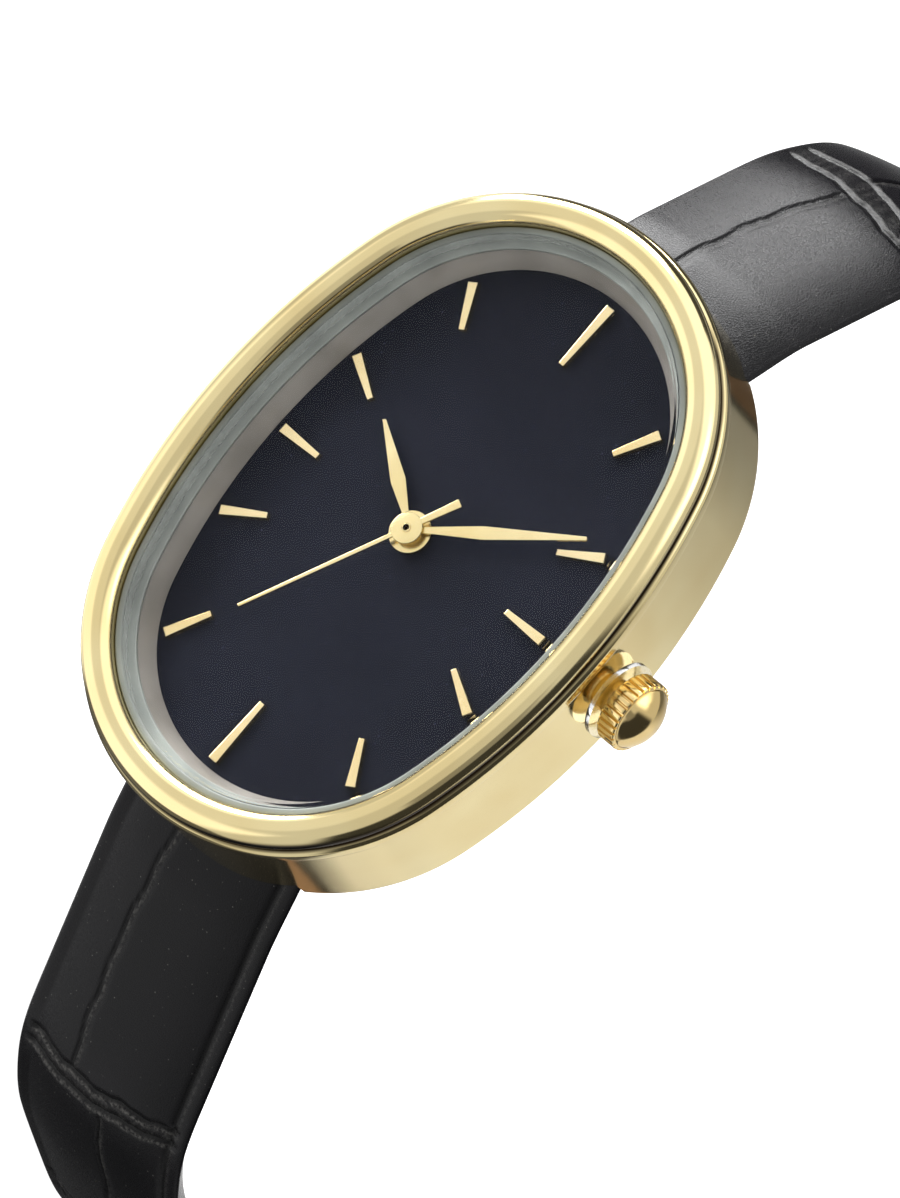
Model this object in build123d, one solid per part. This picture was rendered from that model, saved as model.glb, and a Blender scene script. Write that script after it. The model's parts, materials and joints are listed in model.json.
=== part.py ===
from build123d import *
from math import atan2, cos, degrees, hypot, pi, radians, sin, sqrt, tan
import os

# An oval dress watch with a quartz movement, standing on the ends of its open leather strap.
# The origin is the centre of the case back's outer face, on the axis of the hands.
# X points to the crown at three, Y to twelve, Z out of the dial.

os.makedirs("parts", exist_ok=True)

# Driving dimensions of the case, in millimetres
case_half_length = 19.0
case_half_width = 13.3
end_radius_inset = 0.95
case_end_radius = case_half_width - end_radius_inset
strap_width = 12.0
dial_top = 5.33
overrun = 1.0
snug = 0.02
seat_gap = 0.01
running = 0.04

# Heights of the case
back_plate_proud = 0.4
shoulder_drop = 1.15
bezel_seat = 7.45
bezel_top = 8.55
crystal_bottom = 6.77
crystal_thickness = 1.13

# How far each oval lies inside the shoulder of the case
bezel_inset = 0.2
wall_inset = 0.3
rebate_inset = 0.85
glass_opening_inset = 1.95
pocket_inset = 2.0
seal_width = 0.38
seal_ledge_inset = 2.85
dial_view_inset = 3.5
bore_inset = 5.0
back_inset = 4.2

# Rounded edges of the case
bezel_outer_round = 0.85
bezel_inner_round = 0.7
bezel_foot_round = 0.2
shoulder_round = 0.5
shoulder_foot_round = 0.2
wall_foot_round = 0.45
crystal_chamfer = 0.15


def side_radius_of():
    """The side arc passes through the widest point and meets the end arcs smoothly."""
    a, b, r = case_half_length, case_half_width, case_end_radius
    return (a * a + b * b - 2 * a * r) / (2 * (b - r))


side_radius = side_radius_of()
end_centre = case_half_length - case_end_radius
side_centre = side_radius - case_half_width


def oval_wire(inset):
    """Four tangent arcs, each drawn in by the inset."""
    end_r = case_end_radius - inset
    reach = hypot(side_centre, end_centre)
    join_x = end_r * side_centre / reach
    join_y = end_centre + end_r * end_centre / reach
    half_width = case_half_width - inset
    half_length = case_half_length - inset
    right = ThreePointArc((join_x, -join_y), (half_width, 0), (join_x, join_y))
    top = ThreePointArc((join_x, join_y), (0, half_length), (-join_x, join_y))
    left = ThreePointArc((-join_x, join_y), (-half_width, 0), (-join_x, -join_y))
    foot = ThreePointArc((-join_x, -join_y), (0, -half_length), (join_x, -join_y))
    return [right, top, left, foot]


def oval(inset, low, high):
    return Pos(0, 0, low) * extrude(make_face(oval_wire(inset)), amount=high - low)


def oval_ring(outer, inner, low, high):
    return oval(outer, low, high) - oval(inner, low - overrun, high + overrun)


def disc(radius, low, high, x=0, y=0):
    """An upright cylinder from one height to another."""
    tall = high - low
    return Pos(x, y, low + tall / 2) * Cylinder(radius, tall)


def tube(outer, inner, low, high, x=0, y=0):
    return disc(outer, low, high, x, y) - disc(inner, low - overrun, high + overrun, x, y)


def block(low_x, high_x, low_y, high_y, low_z, high_z):
    size = (high_x - low_x, high_y - low_y, high_z - low_z)
    middle = ((low_x + high_x) / 2, (low_y + high_y) / 2, (low_z + high_z) / 2)
    return Pos(*middle) * Box(*size)


def rod(radius, start, end, y, z):
    """A round bar lying along X."""
    long = end - start
    return Pos(start + long / 2, y, z) * Rot(0, 90, 0) * Cylinder(radius, long)


def edges_at(part, height):
    return [e for e in part.edges() if abs(e.bounding_box().min.Z - height) < snug / 2
            and abs(e.bounding_box().max.Z - height) < snug / 2]


def save(part, name):
    export_step(part, "parts/" + name + ".step")


# The case body: a polished wall under a rounded shoulder
body_foot = back_plate_proud
shoulder_top = bezel_seat
shoulder_foot = shoulder_top - shoulder_drop
dial_thickness = 0.38
dial_seat = dial_top - dial_thickness - snug
crystal_top = crystal_bottom + crystal_thickness
seal_grip_share = 0.18
seal_foot = crystal_bottom - crystal_thickness * seal_grip_share
rehaut_top = seal_foot - snug
rebate_foot = seal_foot

# The strap ends sit in pockets under the case, on spring bars between hidden lugs
bar_inset = 3.9
bar_offset = case_half_length - bar_inset
bar_height = 1.1
bar_radius = 0.6
bar_pin_radius = 0.4
bar_pin_reach = 1.0
bar_pin_share = 0.8
bar_flange_radius = 0.75
bar_flange_width = 0.3
strap_thickness = 2.2
lining_thickness = 0.8
strap_end_radius = 1.35
pocket_side_gap = 0.2
pocket_gap = 0.3
pocket_wall = 1.2

# The strap's sides hang open: shares of their reach across and of the drop to the buckle's pin
strap_reach = 34.4
strap_drop = 66.5
pin_reach_across_share = 0.87
short_drop_shares = ((0.767, 0.128), (0.84, 0.185), (0.892, 0.295), (0.89, 0.421),
                     (pin_reach_across_share, 0.72), (pin_reach_across_share, 1))
long_drop_shares = ((0.869, 0.153), (0.927, 0.209), (1, 0.364), (0.997, 0.489), (0.96, 0.85))
tail_turn_share = 0.917
tail_end_share = 0.436
bend_radius = 10.0
short_bend_shares = (0.9, 0.7, 1.4, 4, 6)
long_bend_shares = (0.7, 1.2, 1.4, 3, 3, 1.2)

# The crown, a little above the middle line as in the photographed watch
crown_axis_y = 0.34
crown_axis_z = 3.26
crown_radius = 2.0
crown_gap = 1.0
crown_knurl_length = 1.2
crown_dome_height = 0.87
crown_dome_radius = 1.8
crown_ribs = 30
crown_rib_depth = 0.13
crown_rib_shares = ((0.1, 1), (0.3, 0), (0.7, 0), (0.9, 1))
crown_travel = 0.8
crown_bore_radius = 1.16
crown_wall = 0.45
tube_radius = 1.0
tube_bore_radius = 0.5
tube_reach = 0.75
tube_inner_reach = 1.5
stem_radius = 0.3
stem_boss_radius = 0.62
crown_seal_start = 0.12
crown_seal_width = 0.32
crown_seal_radius = 1.45
spacer_radius = 2.2
spacer_thickness = 0.28
spacer_lift = 0.42

case_wall_x = case_half_width - wall_inset
crown_back = case_wall_x + crown_gap
tube_end = crown_back + tube_reach
tube_start = case_wall_x - tube_inner_reach

pocket_inner = bar_offset - strap_end_radius - pocket_gap
bore_half_length = pocket_inner - pocket_wall
back_half_length = bore_half_length + pocket_wall / 3


def placed(shares, side):
    return [(side * strap_reach * across, -strap_drop * down) for across, down in shares]


def strap_slope(shares):
    """How steeply a strap leaves its spring bar, in degrees."""
    across, up = placed(shares, 1)[0]
    return degrees(atan2(bar_height - up, across - bar_offset))


def strap_channel(side, slope):
    """The pocket's outline: round the strap's end and out along its slope."""
    reach = strap_end_radius + pocket_gap
    lift = strap_thickness / 2 + pocket_gap
    far = case_half_length
    run = (far - bar_offset) / cos(radians(slope))
    above = Polygon((0, lift), (run, lift), (run, -far), (0, -far), align=None)
    slanted = Pos(bar_offset, bar_height) * Rot(0, 0, -slope) * above
    below = Polygon((bar_offset - reach, bar_height), (bar_offset - reach, -far),
                    (far, -far), (bar_offset, bar_height), align=None)
    around = Pos(bar_offset, bar_height) * Circle(reach)
    outline = around + slanted + below
    wide = strap_width + 2 * pocket_side_gap
    solid = extrude(Plane.YZ * outline, amount=wide / 2, both=True)
    turned_over = solid if side > 0 else solid.mirror(Plane.XZ)
    return turned_over & block(-wide, wide, -far * 2, far * 2, -far, bezel_seat)


def case_body():
    wall = oval(wall_inset, body_foot, shoulder_top)
    wall = fillet(edges_at(wall, body_foot), wall_foot_round)
    shoulder = oval(0, shoulder_foot, shoulder_top)
    shoulder = fillet(edges_at(shoulder, shoulder_top), shoulder_round)
    shoulder = fillet(edges_at(shoulder, shoulder_foot), shoulder_foot_round)
    body = wall + shoulder
    body -= oval(rebate_inset, rebate_foot, shoulder_top + overrun)
    body -= oval(pocket_inset, dial_seat, shoulder_top + overrun)
    bore = oval(bore_inset, body_foot - overrun, dial_seat + overrun)
    keep = 2 * case_half_width
    body -= bore & block(-keep, keep, -bore_half_length, bore_half_length, -keep, keep)
    back_seat = oval(back_inset, body_foot - overrun, back_rebate_top)
    body -= back_seat & block(-keep, keep, -back_half_length, back_half_length, -keep, keep)
    for side, shares in ((1, short_drop_shares), (-1, long_drop_shares)):
        body -= strap_channel(side, strap_slope(shares))
        pin_end = strap_width / 2 + pocket_side_gap + bar_pin_reach
        body -= rod(bar_pin_radius + seat_gap, -pin_end, pin_end, side * bar_offset, bar_height)
    start = case_half_width - bore_inset - overrun
    body -= rod(tube_radius + seat_gap, start, case_half_width + overrun, crown_axis_y, crown_axis_z)
    return body


back_thickness = 0.9
back_lip_height = 0.6
back_lip_width = 0.45
back_round = 0.25
back_rebate_top = back_thickness + snug
back_seal_width = 0.32
back_seal_height = 0.35
back_notch_radius = 0.9


def case_back():
    keep = 2 * case_half_width
    plate = oval(back_inset + snug, 0, back_thickness)
    plate &= block(-keep, keep, -back_half_length + snug, back_half_length - snug, -keep, keep)
    plate = fillet(edges_at(plate, 0), back_round)
    lip_inset = bore_inset + snug + back_seal_width + snug
    lip_top = back_thickness + back_lip_height
    lip_half = bore_half_length - snug - back_seal_width - snug
    lip = oval(lip_inset, back_thickness, lip_top)
    lip &= block(-keep, keep, -lip_half, lip_half, -keep, keep)
    hollow = oval(lip_inset + back_lip_width, back_thickness, lip_top + overrun)
    inner_half = lip_half - back_lip_width
    hollow &= block(-keep, keep, -inner_half, inner_half, -keep, keep)
    notch_x = case_half_width - back_inset + back_notch_radius / 2
    notch = disc(back_notch_radius, -overrun, back_thickness / 2, -notch_x)
    return plate + (lip - hollow) - notch


def case_back_gasket():
    keep = 2 * case_half_width
    low = back_thickness + snug
    high = low + back_seal_height
    outer_half = bore_half_length - snug
    inner_half = outer_half - back_seal_width
    ring = oval(bore_inset + snug, low, high)
    ring &= block(-keep, keep, -outer_half, outer_half, -keep, keep)
    hole = oval(bore_inset + snug + back_seal_width, low - overrun, high + overrun)
    hole &= block(-keep, keep, -inner_half, inner_half, -keep, keep)
    return ring - hole


def bezel():
    crest = oval(bezel_inset, bezel_seat + seat_gap, bezel_top)
    crest = fillet(edges_at(crest, bezel_top), bezel_outer_round)
    crest = fillet(edges_at(crest, bezel_seat + seat_gap), bezel_foot_round)
    hole = oval(glass_opening_inset, rebate_foot, bezel_top + overrun)
    ring = crest - hole
    inner = [e for e in edges_at(ring, bezel_top)
             if e.bounding_box().max.X < case_half_width - glass_opening_inset + snug
             and e.bounding_box().max.Y < case_half_length - glass_opening_inset + snug]
    ring = fillet(inner, bezel_inner_round)
    spigot = oval_ring(rebate_inset + snug, glass_opening_inset, rebate_foot + snug,
                       bezel_seat + bezel_foot_round)
    return ring + spigot


def crystal_gasket():
    outer = glass_opening_inset + snug
    upright = oval_ring(outer, outer + seal_width, seal_foot, crystal_top - crystal_chamfer)
    ledge = oval_ring(outer, seal_ledge_inset, seal_foot, crystal_bottom - seat_gap)
    return upright + ledge


def crystal():
    glass = oval(glass_opening_inset + seal_width + 2 * snug, crystal_bottom, crystal_top)
    return chamfer(edges_at(glass, crystal_top), crystal_chamfer)


def rehaut_ring():
    foot = dial_top + snug
    ring = oval(pocket_inset + snug, foot, rehaut_top)
    low = Pos(0, 0, foot) * make_face(oval_wire(dial_view_inset))
    high = Pos(0, 0, rehaut_top) * make_face(oval_wire(seal_ledge_inset))
    return ring - loft([low, high], ruled=True)


# The hands turn about one axis: hour pipe outside, minute pipe inside it, seconds arbor in the middle
arbor_radius = 0.12
seconds_arbor_radius = arbor_radius
centre_pipe_radius = 0.3
cannon_bore_radius = centre_pipe_radius + running
cannon_pipe_radius = 0.42
hour_bore_radius = cannon_pipe_radius + running
hour_pipe_radius = 0.66
dial_hole_radius = 0.8
hand_thickness = 0.14
hand_gap = 0.06
hour_boss_radius = 1.14
hour_boss_height = 0.3
minute_boss_radius = 0.62
minute_boss_height = 0.3
seconds_boss_radius = 0.84
seconds_boss_height = 0.16
rivet_radius = 0.2
rivet_height = 0.05
hour_level_share = 0.24
hour_level = dial_top + hour_level_share * (crystal_bottom - dial_top)
minute_level = hour_level + hour_boss_height + hand_gap
seconds_level = minute_level + minute_boss_height + hand_gap

hour_length = 6.33
hour_width = 0.82
minute_length = 9.52
minute_width = 0.74
seconds_length = 9.4
seconds_width = 0.24
tail_length = 3.0
tail_width = 0.46
hand_tip_width = 0.2
hand_root_width = 0.3
hour_angle = 304.0
minute_angle = 55.8
seconds_angle = 206.7
leaf_shares = (0.46, 0.42)

# Applied hour markers stand at true angles and follow the oval
marker_height = 0.34
marker_outer_width = 0.6
marker_inner_width = 0.37
marker_taper = 15.0
long_marker_length = 3.86
short_marker_length = 2.64
marker_rim_gap = 0.35


def oval_reach(inset, angle):
    """Distance from the centre to the oval, along a direction clockwise from twelve."""
    across, along = abs(sin(radians(angle))), abs(cos(radians(angle)))
    end_r = case_end_radius - inset
    near = along * end_centre
    reach = near + sqrt(max(near * near - end_centre ** 2 + end_r ** 2, 0))
    if reach * across * end_centre <= (reach * along - end_centre) * side_centre:
        return reach
    back = across * side_centre
    return sqrt(back * back - side_centre ** 2 + (side_radius - inset) ** 2) - back


def marker(angle, length):
    outer = oval_reach(dial_view_inset + marker_rim_gap, angle)
    inner = outer - length
    shape = Polygon((-marker_inner_width / 2, inner), (marker_inner_width / 2, inner),
                    (marker_outer_width / 2, outer), (-marker_outer_width / 2, outer), align=None)
    bar = extrude(shape, amount=marker_height, taper=marker_taper)
    return Rot(0, 0, -angle) * Pos(0, 0, dial_top + seat_gap) * bar


def dial():
    plate = oval(pocket_inset + snug * 2, dial_seat + snug, dial_top)
    plate -= disc(dial_hole_radius, dial_seat - overrun, dial_top + overrun)
    return plate


def turned(part, angle, level):
    return Rot(0, 0, -angle) * Pos(0, 0, level) * part


def leaf_hand(length, width, share, boss_radius, boss_height, bore):
    """A narrow lozenge with a squared tip, on a round boss."""
    wide_at = length * share
    outline = Polygon((-hand_root_width / 2, 0), (-width / 2, wide_at), (-hand_tip_width / 2, length),
                      (hand_tip_width / 2, length), (width / 2, wide_at), (hand_root_width / 2, 0),
                      align=None)
    blade = Pos(0, 0, boss_height - hand_thickness) * extrude(outline, amount=hand_thickness)
    boss = disc(boss_radius, 0, boss_height)
    return blade + boss - disc(bore, -overrun, boss_height + overrun)


def hour_hand():
    hand = leaf_hand(hour_length, hour_width, leaf_shares[0], hour_boss_radius, hour_boss_height,
                     hour_pipe_radius)
    return turned(hand, hour_angle, hour_level)


def minute_hand():
    hand = leaf_hand(minute_length, minute_width, leaf_shares[1], minute_boss_radius,
                     minute_boss_height, cannon_pipe_radius)
    return turned(hand, minute_angle, minute_level)


def seconds_hand():
    half_tip, half_root = seconds_width / 3, seconds_width / 2
    needle = Polygon((-half_root, 0), (-half_tip, seconds_length), (half_tip, seconds_length),
                     (half_root, 0), align=None)
    tail = Polygon((-tail_width / 3, 0), (tail_width / 3, 0), (tail_width / 2, -tail_length),
                   (-tail_width / 2, -tail_length), align=None)
    blade = extrude(needle, amount=hand_thickness) + extrude(tail, amount=hand_thickness)
    boss = disc(seconds_boss_radius, 0, seconds_boss_height)
    hand = blade + boss + disc(rivet_radius, 0, seconds_boss_height + rivet_height)
    hand -= disc(seconds_arbor_radius, -overrun, seconds_boss_height / 2)
    return turned(hand, seconds_angle, seconds_level)


# The crown and what it turns
def knurled(radius, depth, ribs, length):
    points = []
    for i in range(ribs):
        step = 360 / ribs
        for share, r in crown_rib_shares:
            angle = radians(step * (i + share))
            points.append(((radius - depth * r) * cos(angle), (radius - depth * r) * sin(angle)))
    return extrude(Polygon(*points, align=None), amount=length)


def on_crown_axis(part, start):
    """Turns a part that was made along Z onto the crown's axis, starting at X."""
    return Pos(start, crown_axis_y, crown_axis_z) * Rot(0, 90, 0) * part


def crown():
    grip = knurled(crown_radius, crown_rib_depth, crown_ribs, crown_knurl_length)
    cap_r = (crown_dome_radius ** 2 + crown_dome_height ** 2) / (2 * crown_dome_height)
    dome = Pos(0, 0, crown_knurl_length + crown_dome_height - cap_r) * Sphere(cap_r)
    dome &= disc(crown_dome_radius + overrun, crown_knurl_length, crown_knurl_length + crown_dome_height)
    head = grip + dome
    depth = tube_reach + crown_wall
    head -= disc(crown_bore_radius, -overrun, depth)
    head -= disc(crown_seal_radius, crown_seal_start, crown_seal_start + crown_seal_width + snug)
    head += disc(stem_boss_radius - running, tube_reach + running, depth)
    head -= disc(stem_radius + seat_gap, -overrun, depth + crown_dome_height / 2)
    return on_crown_axis(head, crown_back)


def crown_gasket():
    ring = tube(crown_seal_radius - snug, tube_radius + snug, crown_seal_start + seat_gap,
                crown_seal_start + crown_seal_width)
    return on_crown_axis(ring, crown_back)


def crown_spacer():
    ring = tube(spacer_radius, tube_radius + seat_gap, 0, spacer_thickness)
    return on_crown_axis(ring, case_wall_x + spacer_lift)


def crown_tube():
    return on_crown_axis(tube(tube_radius, tube_bore_radius, 0, tube_end - tube_start), tube_start)


# The stem and its setting pinion, whose places follow the main plate's edge
holder_side = 0.65
holder_end = 3.35
plate_half_x = case_half_width - bore_inset - holder_side
plate_half_y = bore_half_length - holder_end
stem_side = 3.05
stem_inner_end = plate_half_x - stem_side
stem_square = 0.36
setting_side = 2.45
setting_start = plate_half_x - setting_side
setting_length = 0.9
setting_radius = 0.62
setting_slot_gap = 0.15
setting_teeth = 12


def winding_stem():
    """Round through the tube and square where the setting pinion slides on it."""
    round_start = setting_start + setting_length + crown_travel + overrun / 2
    end = crown_back + tube_reach + crown_wall + crown_dome_height / 2 - snug
    stem = disc(stem_radius, 0, end - round_start)
    square = Pos(0, 0, (stem_inner_end - round_start) / 2) * Box(
        stem_square, stem_square, round_start - stem_inner_end)
    return on_crown_axis(stem + square, round_start)


def setting_pinion():
    wheel = gear(setting_radius * 2 / setting_teeth, setting_teeth, 0, setting_length, 0)
    hole = stem_square + 2 * running
    wheel -= Pos(0, 0, setting_length / 2) * Box(hole, hole, setting_length + 2 * overrun)
    return on_crown_axis(wheel, setting_start)


# Gears, as module, teeth and the shares of the tooth's pitch at its tip and root
tooth_tip_share = 0.1
tooth_root_share = 0.2
tip_depth_share = 0.85
root_depth_share = 1.1


def gear(module, teeth, low, high, phase):
    """Straight trapezoid teeth; the phase is the direction of one tooth, in degrees."""
    pitch_radius = module * teeth / 2
    pitch = 2 * pi / teeth
    points = []
    for i in range(teeth):
        middle = radians(phase) + pitch * i
        for share, r in ((-tooth_root_share, pitch_radius - module * root_depth_share),
                         (-tooth_tip_share, pitch_radius + module * tip_depth_share),
                         (tooth_tip_share, pitch_radius + module * tip_depth_share),
                         (tooth_root_share, pitch_radius - module * root_depth_share)):
            angle = middle + share * pitch
            points.append((r * cos(angle), r * sin(angle)))
    return Pos(0, 0, low) * extrude(Polygon(*points, align=None), amount=high - low)


# The movement, from its bridge at the back to the dial
holder_thin = 0.11
plate_wall = 0.55
holder_gap = 0.08
bridge_low = 1.8
bridge_high = 2.1
plate_low = 3.6
plate_high = 4.08
movement_top = dial_seat - snug
holder_low = 1.3
screw_radius = 0.3
screw_head_radius = 0.55
screw_head_height = 0.22
screw_slot_width = 0.14
screw_shares = ((0.79, 0.43), (-0.79, 0.04), (0.79, -0.29), (0.12, -0.86))

pinion_teeth = 8
fourth_teeth, fourth_module = 40, 0.075
between_teeth, between_module = 48, 0.06
third_teeth, third_pinion_module = 60, 0.05
centre_teeth = 64
train_distance = third_pinion_module * (pinion_teeth + centre_teeth) / 2
third_module = 2 * train_distance / (pinion_teeth + third_teeth)
between_distance = fourth_module * (pinion_teeth + fourth_teeth) / 2
rotor_distance = between_module * (pinion_teeth + between_teeth) / 2
third_bearing = 172.0
between_bearing = 60.0
rotor_bearing = 78.0

cannon_teeth, motion_teeth, motion_module = 12, 36, 0.09
motion_pinion_teeth, hour_teeth = 10, 40
motion_distance = motion_module * (cannon_teeth + motion_teeth) / 2
hour_module = 2 * motion_distance / (motion_pinion_teeth + hour_teeth)
motion_bearing = 20.0
motion_post_radius = 0.16

wheel_thickness = 0.14
fourth_level = 2.24
third_level = 2.5
between_level = 2.9
centre_level = 3.28
pinion_reach = 0.1
pivot_gap = 0.03
pivot_radius = 0.08
cannon_level = 4.14
hour_wheel_level = 4.48
motion_top = 4.78
centre_pipe_top = 4.5


def bearing_xy(distance, angle, x=0, y=0):
    return x + distance * cos(radians(angle)), y + distance * sin(radians(angle))


third_x, third_y = bearing_xy(train_distance, third_bearing)
between_x, between_y = bearing_xy(between_distance, between_bearing)
rotor_x, rotor_y = bearing_xy(rotor_distance, rotor_bearing, between_x, between_y)
motion_x, motion_y = bearing_xy(motion_distance, motion_bearing)


def facing_phase(angle, teeth):
    """Phase that puts a gap of this gear towards the gear before it."""
    return angle + 180 + 180 / teeth


def fourth_wheel():
    """Wheel, pinion and the long arbor that carries the seconds hand."""
    wheel = gear(fourth_module, fourth_teeth, fourth_level, fourth_level + wheel_thickness,
                 between_bearing)
    pinion = gear(third_module, pinion_teeth, fourth_level + wheel_thickness,
                  third_level + wheel_thickness + pinion_reach, third_bearing)
    arbor = disc(seconds_arbor_radius, bridge_low + pivot_gap,
                 seconds_level + seconds_boss_height / 2 - seat_gap)
    return wheel + pinion + arbor


def third_wheel():
    wheel = gear(third_module, third_teeth, third_level, third_level + wheel_thickness,
                 facing_phase(third_bearing, third_teeth))
    pinion = gear(third_pinion_module, pinion_teeth, third_level + wheel_thickness,
                  centre_level + wheel_thickness + pinion_reach, third_bearing + 180)
    arbor = disc(pivot_radius, bridge_low + pivot_gap, plate_high - pivot_gap)
    return Pos(third_x, third_y) * (wheel + pinion + arbor)


def centre_wheel():
    """Turns once an hour; its pipe is the spindle of the minute hand's tube."""
    wheel = gear(third_pinion_module, centre_teeth, centre_level, centre_level + wheel_thickness,
                 facing_phase(third_bearing + 180, centre_teeth))
    pipe = disc(centre_pipe_radius, centre_level, centre_pipe_top)
    hole = disc(seconds_arbor_radius + running, centre_level - overrun, centre_pipe_top + overrun)
    return wheel + pipe - hole


def intermediate_wheel():
    wheel = gear(between_module, between_teeth, between_level, between_level + wheel_thickness,
                 rotor_bearing)
    pinion = gear(fourth_module, pinion_teeth, fourth_level - pinion_reach, between_level,
                  facing_phase(between_bearing, pinion_teeth))
    arbor = disc(pivot_radius, bridge_low + pivot_gap, plate_high - pivot_gap)
    return Pos(between_x, between_y) * (wheel + pinion + arbor)


rotor_magnet_radius = 0.62
rotor_magnet_low = 2.32
rotor_magnet_high = 2.78
stator_gap = 0.14


def rotor():
    magnet = disc(rotor_magnet_radius, rotor_magnet_low, rotor_magnet_high)
    pinion = gear(between_module, pinion_teeth, rotor_magnet_high,
                  between_level + wheel_thickness + pinion_reach,
                  facing_phase(rotor_bearing, pinion_teeth))
    arbor = disc(pivot_radius, bridge_low + pivot_gap, plate_high - pivot_gap)
    return Pos(rotor_x, rotor_y) * (magnet + pinion + arbor)


def cannon_pinion():
    """The minute hand's tube, held on the centre wheel's pipe by friction."""
    pinion = gear(motion_module, cannon_teeth, cannon_level, cannon_level + wheel_thickness * 2,
                  motion_bearing)
    pipe = disc(cannon_pipe_radius, cannon_level, minute_level + minute_boss_height - snug)
    low_hole = disc(cannon_bore_radius, cannon_level - overrun, centre_pipe_top + pivot_gap)
    hole = disc(seconds_arbor_radius + running, cannon_level, bezel_top)
    return pinion + pipe - low_hole - hole


def minute_wheel():
    wheel = gear(motion_module, motion_teeth, cannon_level + pivot_gap,
                 cannon_level + pivot_gap + wheel_thickness, facing_phase(motion_bearing, motion_teeth))
    pinion = gear(hour_module, motion_pinion_teeth, cannon_level + pivot_gap + wheel_thickness,
                  motion_top, motion_bearing + 180)
    bore = disc(motion_post_radius + running, plate_high, motion_top + overrun)
    return Pos(motion_x, motion_y) * (wheel + pinion - bore)


def hour_wheel():
    wheel = gear(hour_module, hour_teeth, hour_wheel_level, hour_wheel_level + wheel_thickness,
                 facing_phase(motion_bearing + 180, hour_teeth))
    pipe = disc(hour_pipe_radius, hour_wheel_level, hour_level + hour_boss_height - snug)
    hole = disc(hour_bore_radius, hour_wheel_level - overrun, bezel_top)
    return wheel + pipe - hole


def plate_corner_of():
    """The corner's arc leaves the holder its least wall beside the case's side arc."""
    side_arc = side_radius - bore_inset - holder_thin
    across, along = side_centre + plate_half_x, plate_half_y
    spare = across + along - side_arc
    return spare - sqrt(spare * spare + side_arc * side_arc - across * across - along * along)


plate_corner = plate_corner_of()


def plate_outline(grow, low, high):
    half_x, half_y = plate_half_x + grow, plate_half_y + grow
    shape = RectangleRounded(2 * half_x, 2 * half_y, plate_corner + grow)
    return Pos(0, 0, low) * extrude(shape, amount=high - low)


battery_radius = 3.4
battery_thickness = 2.6
battery_low = 1.56
battery_side = 4.7
battery_end = 3.9
battery_x = battery_side - plate_half_x
battery_y = battery_end - plate_half_y
battery_gap = 0.06
battery_rim_radius = 2.7
battery_step = 0.3
contact_width = 1.2
contact_thickness = 0.12
contact_foot_y = 0.9

coil_radius = 0.58
coil_bobbin_radius = 0.72
coil_bobbin_width = 0.25
coil_length = 7.4
coil_x = -1.4
coil_end = 2.0
coil_y = plate_half_y - coil_end
coil_z = 2.85
core_width = 0.9
core_thickness = 0.3
stator_low = 2.4
stator_high = 2.68
stator_arm = 1.5

chip_half = 0.9
board_thickness = 0.12
board_low = 2.2
board_side = 1.05
board_end = 1.5
board_length = 5.5
board_width = 4.4
board_x_high = plate_half_x - board_side
board_x_low = board_x_high - board_length
board_y_low = board_end - plate_half_y
board_y_high = board_y_low + board_width
can_radius = 0.6
can_length = 3.4
can_side = 2.45
can_x = plate_half_x - can_side
chip_height = 0.45
chip_inset = 1.6
chip_x = board_x_low + chip_inset
chip_y = (board_y_low + board_y_high) / 2

lever_length = 3.4
lever_width = 0.7
lever_thickness = 0.2
lever_side = 2.75
lever_x = plate_half_x - lever_side
lever_y = 1.9


def screw_places():
    return [(plate_half_x * x, plate_half_y * y) for x, y in screw_shares]


def stem_slot(radius, low):
    """Room for the stem and its pinion, cut from the edge inwards."""
    return block(stem_inner_end - overrun / 4, plate_half_x + overrun, crown_axis_y - radius,
                 crown_axis_y + radius, low, crown_axis_z + radius)


def main_plate():
    plate = plate_outline(0, plate_low, plate_high)
    skirt = plate_outline(0, bridge_high, plate_low + seat_gap)
    skirt -= plate_outline(-plate_wall, bridge_high - overrun, plate_low)
    rim = plate_outline(0, plate_high - seat_gap, movement_top)
    rim -= plate_outline(-plate_wall, plate_high, movement_top + overrun)
    body = plate + skirt + rim
    body -= disc(battery_radius + battery_gap, bridge_low, plate_high + overrun, battery_x, battery_y)
    body -= stem_slot(setting_radius + setting_slot_gap, bridge_low)
    body -= disc(centre_pipe_radius + running, plate_low - overrun, plate_high + overrun)
    for x, y in ((third_x, third_y), (between_x, between_y), (rotor_x, rotor_y)):
        body -= disc(pivot_radius + running / 2, plate_low - overrun, plate_high - seat_gap, x, y)
    body += disc(motion_post_radius, plate_high - seat_gap, motion_top, motion_x, motion_y)
    for x, y in screw_places():
        body += disc(screw_head_radius, bridge_high, plate_low + seat_gap, x, y)
        body -= disc(screw_radius + seat_gap, bridge_high - overrun, plate_low, x, y)
    return body


def train_bridge():
    bridge = plate_outline(-holder_gap, bridge_low, bridge_high - seat_gap)
    bridge -= disc(battery_radius + battery_gap, bridge_low - overrun, bridge_high + overrun,
                   battery_x, battery_y)
    for x, y in ((0, 0), (third_x, third_y), (between_x, between_y), (rotor_x, rotor_y)):
        radius = (seconds_arbor_radius if x == 0 else pivot_radius) + running / 2
        bridge -= disc(radius, bridge_low + pivot_gap / 2, bridge_high + overrun, x, y)
    for x, y in screw_places():
        bridge -= disc(screw_radius + seat_gap, bridge_low - overrun, bridge_high + overrun, x, y)
    return bridge


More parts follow.
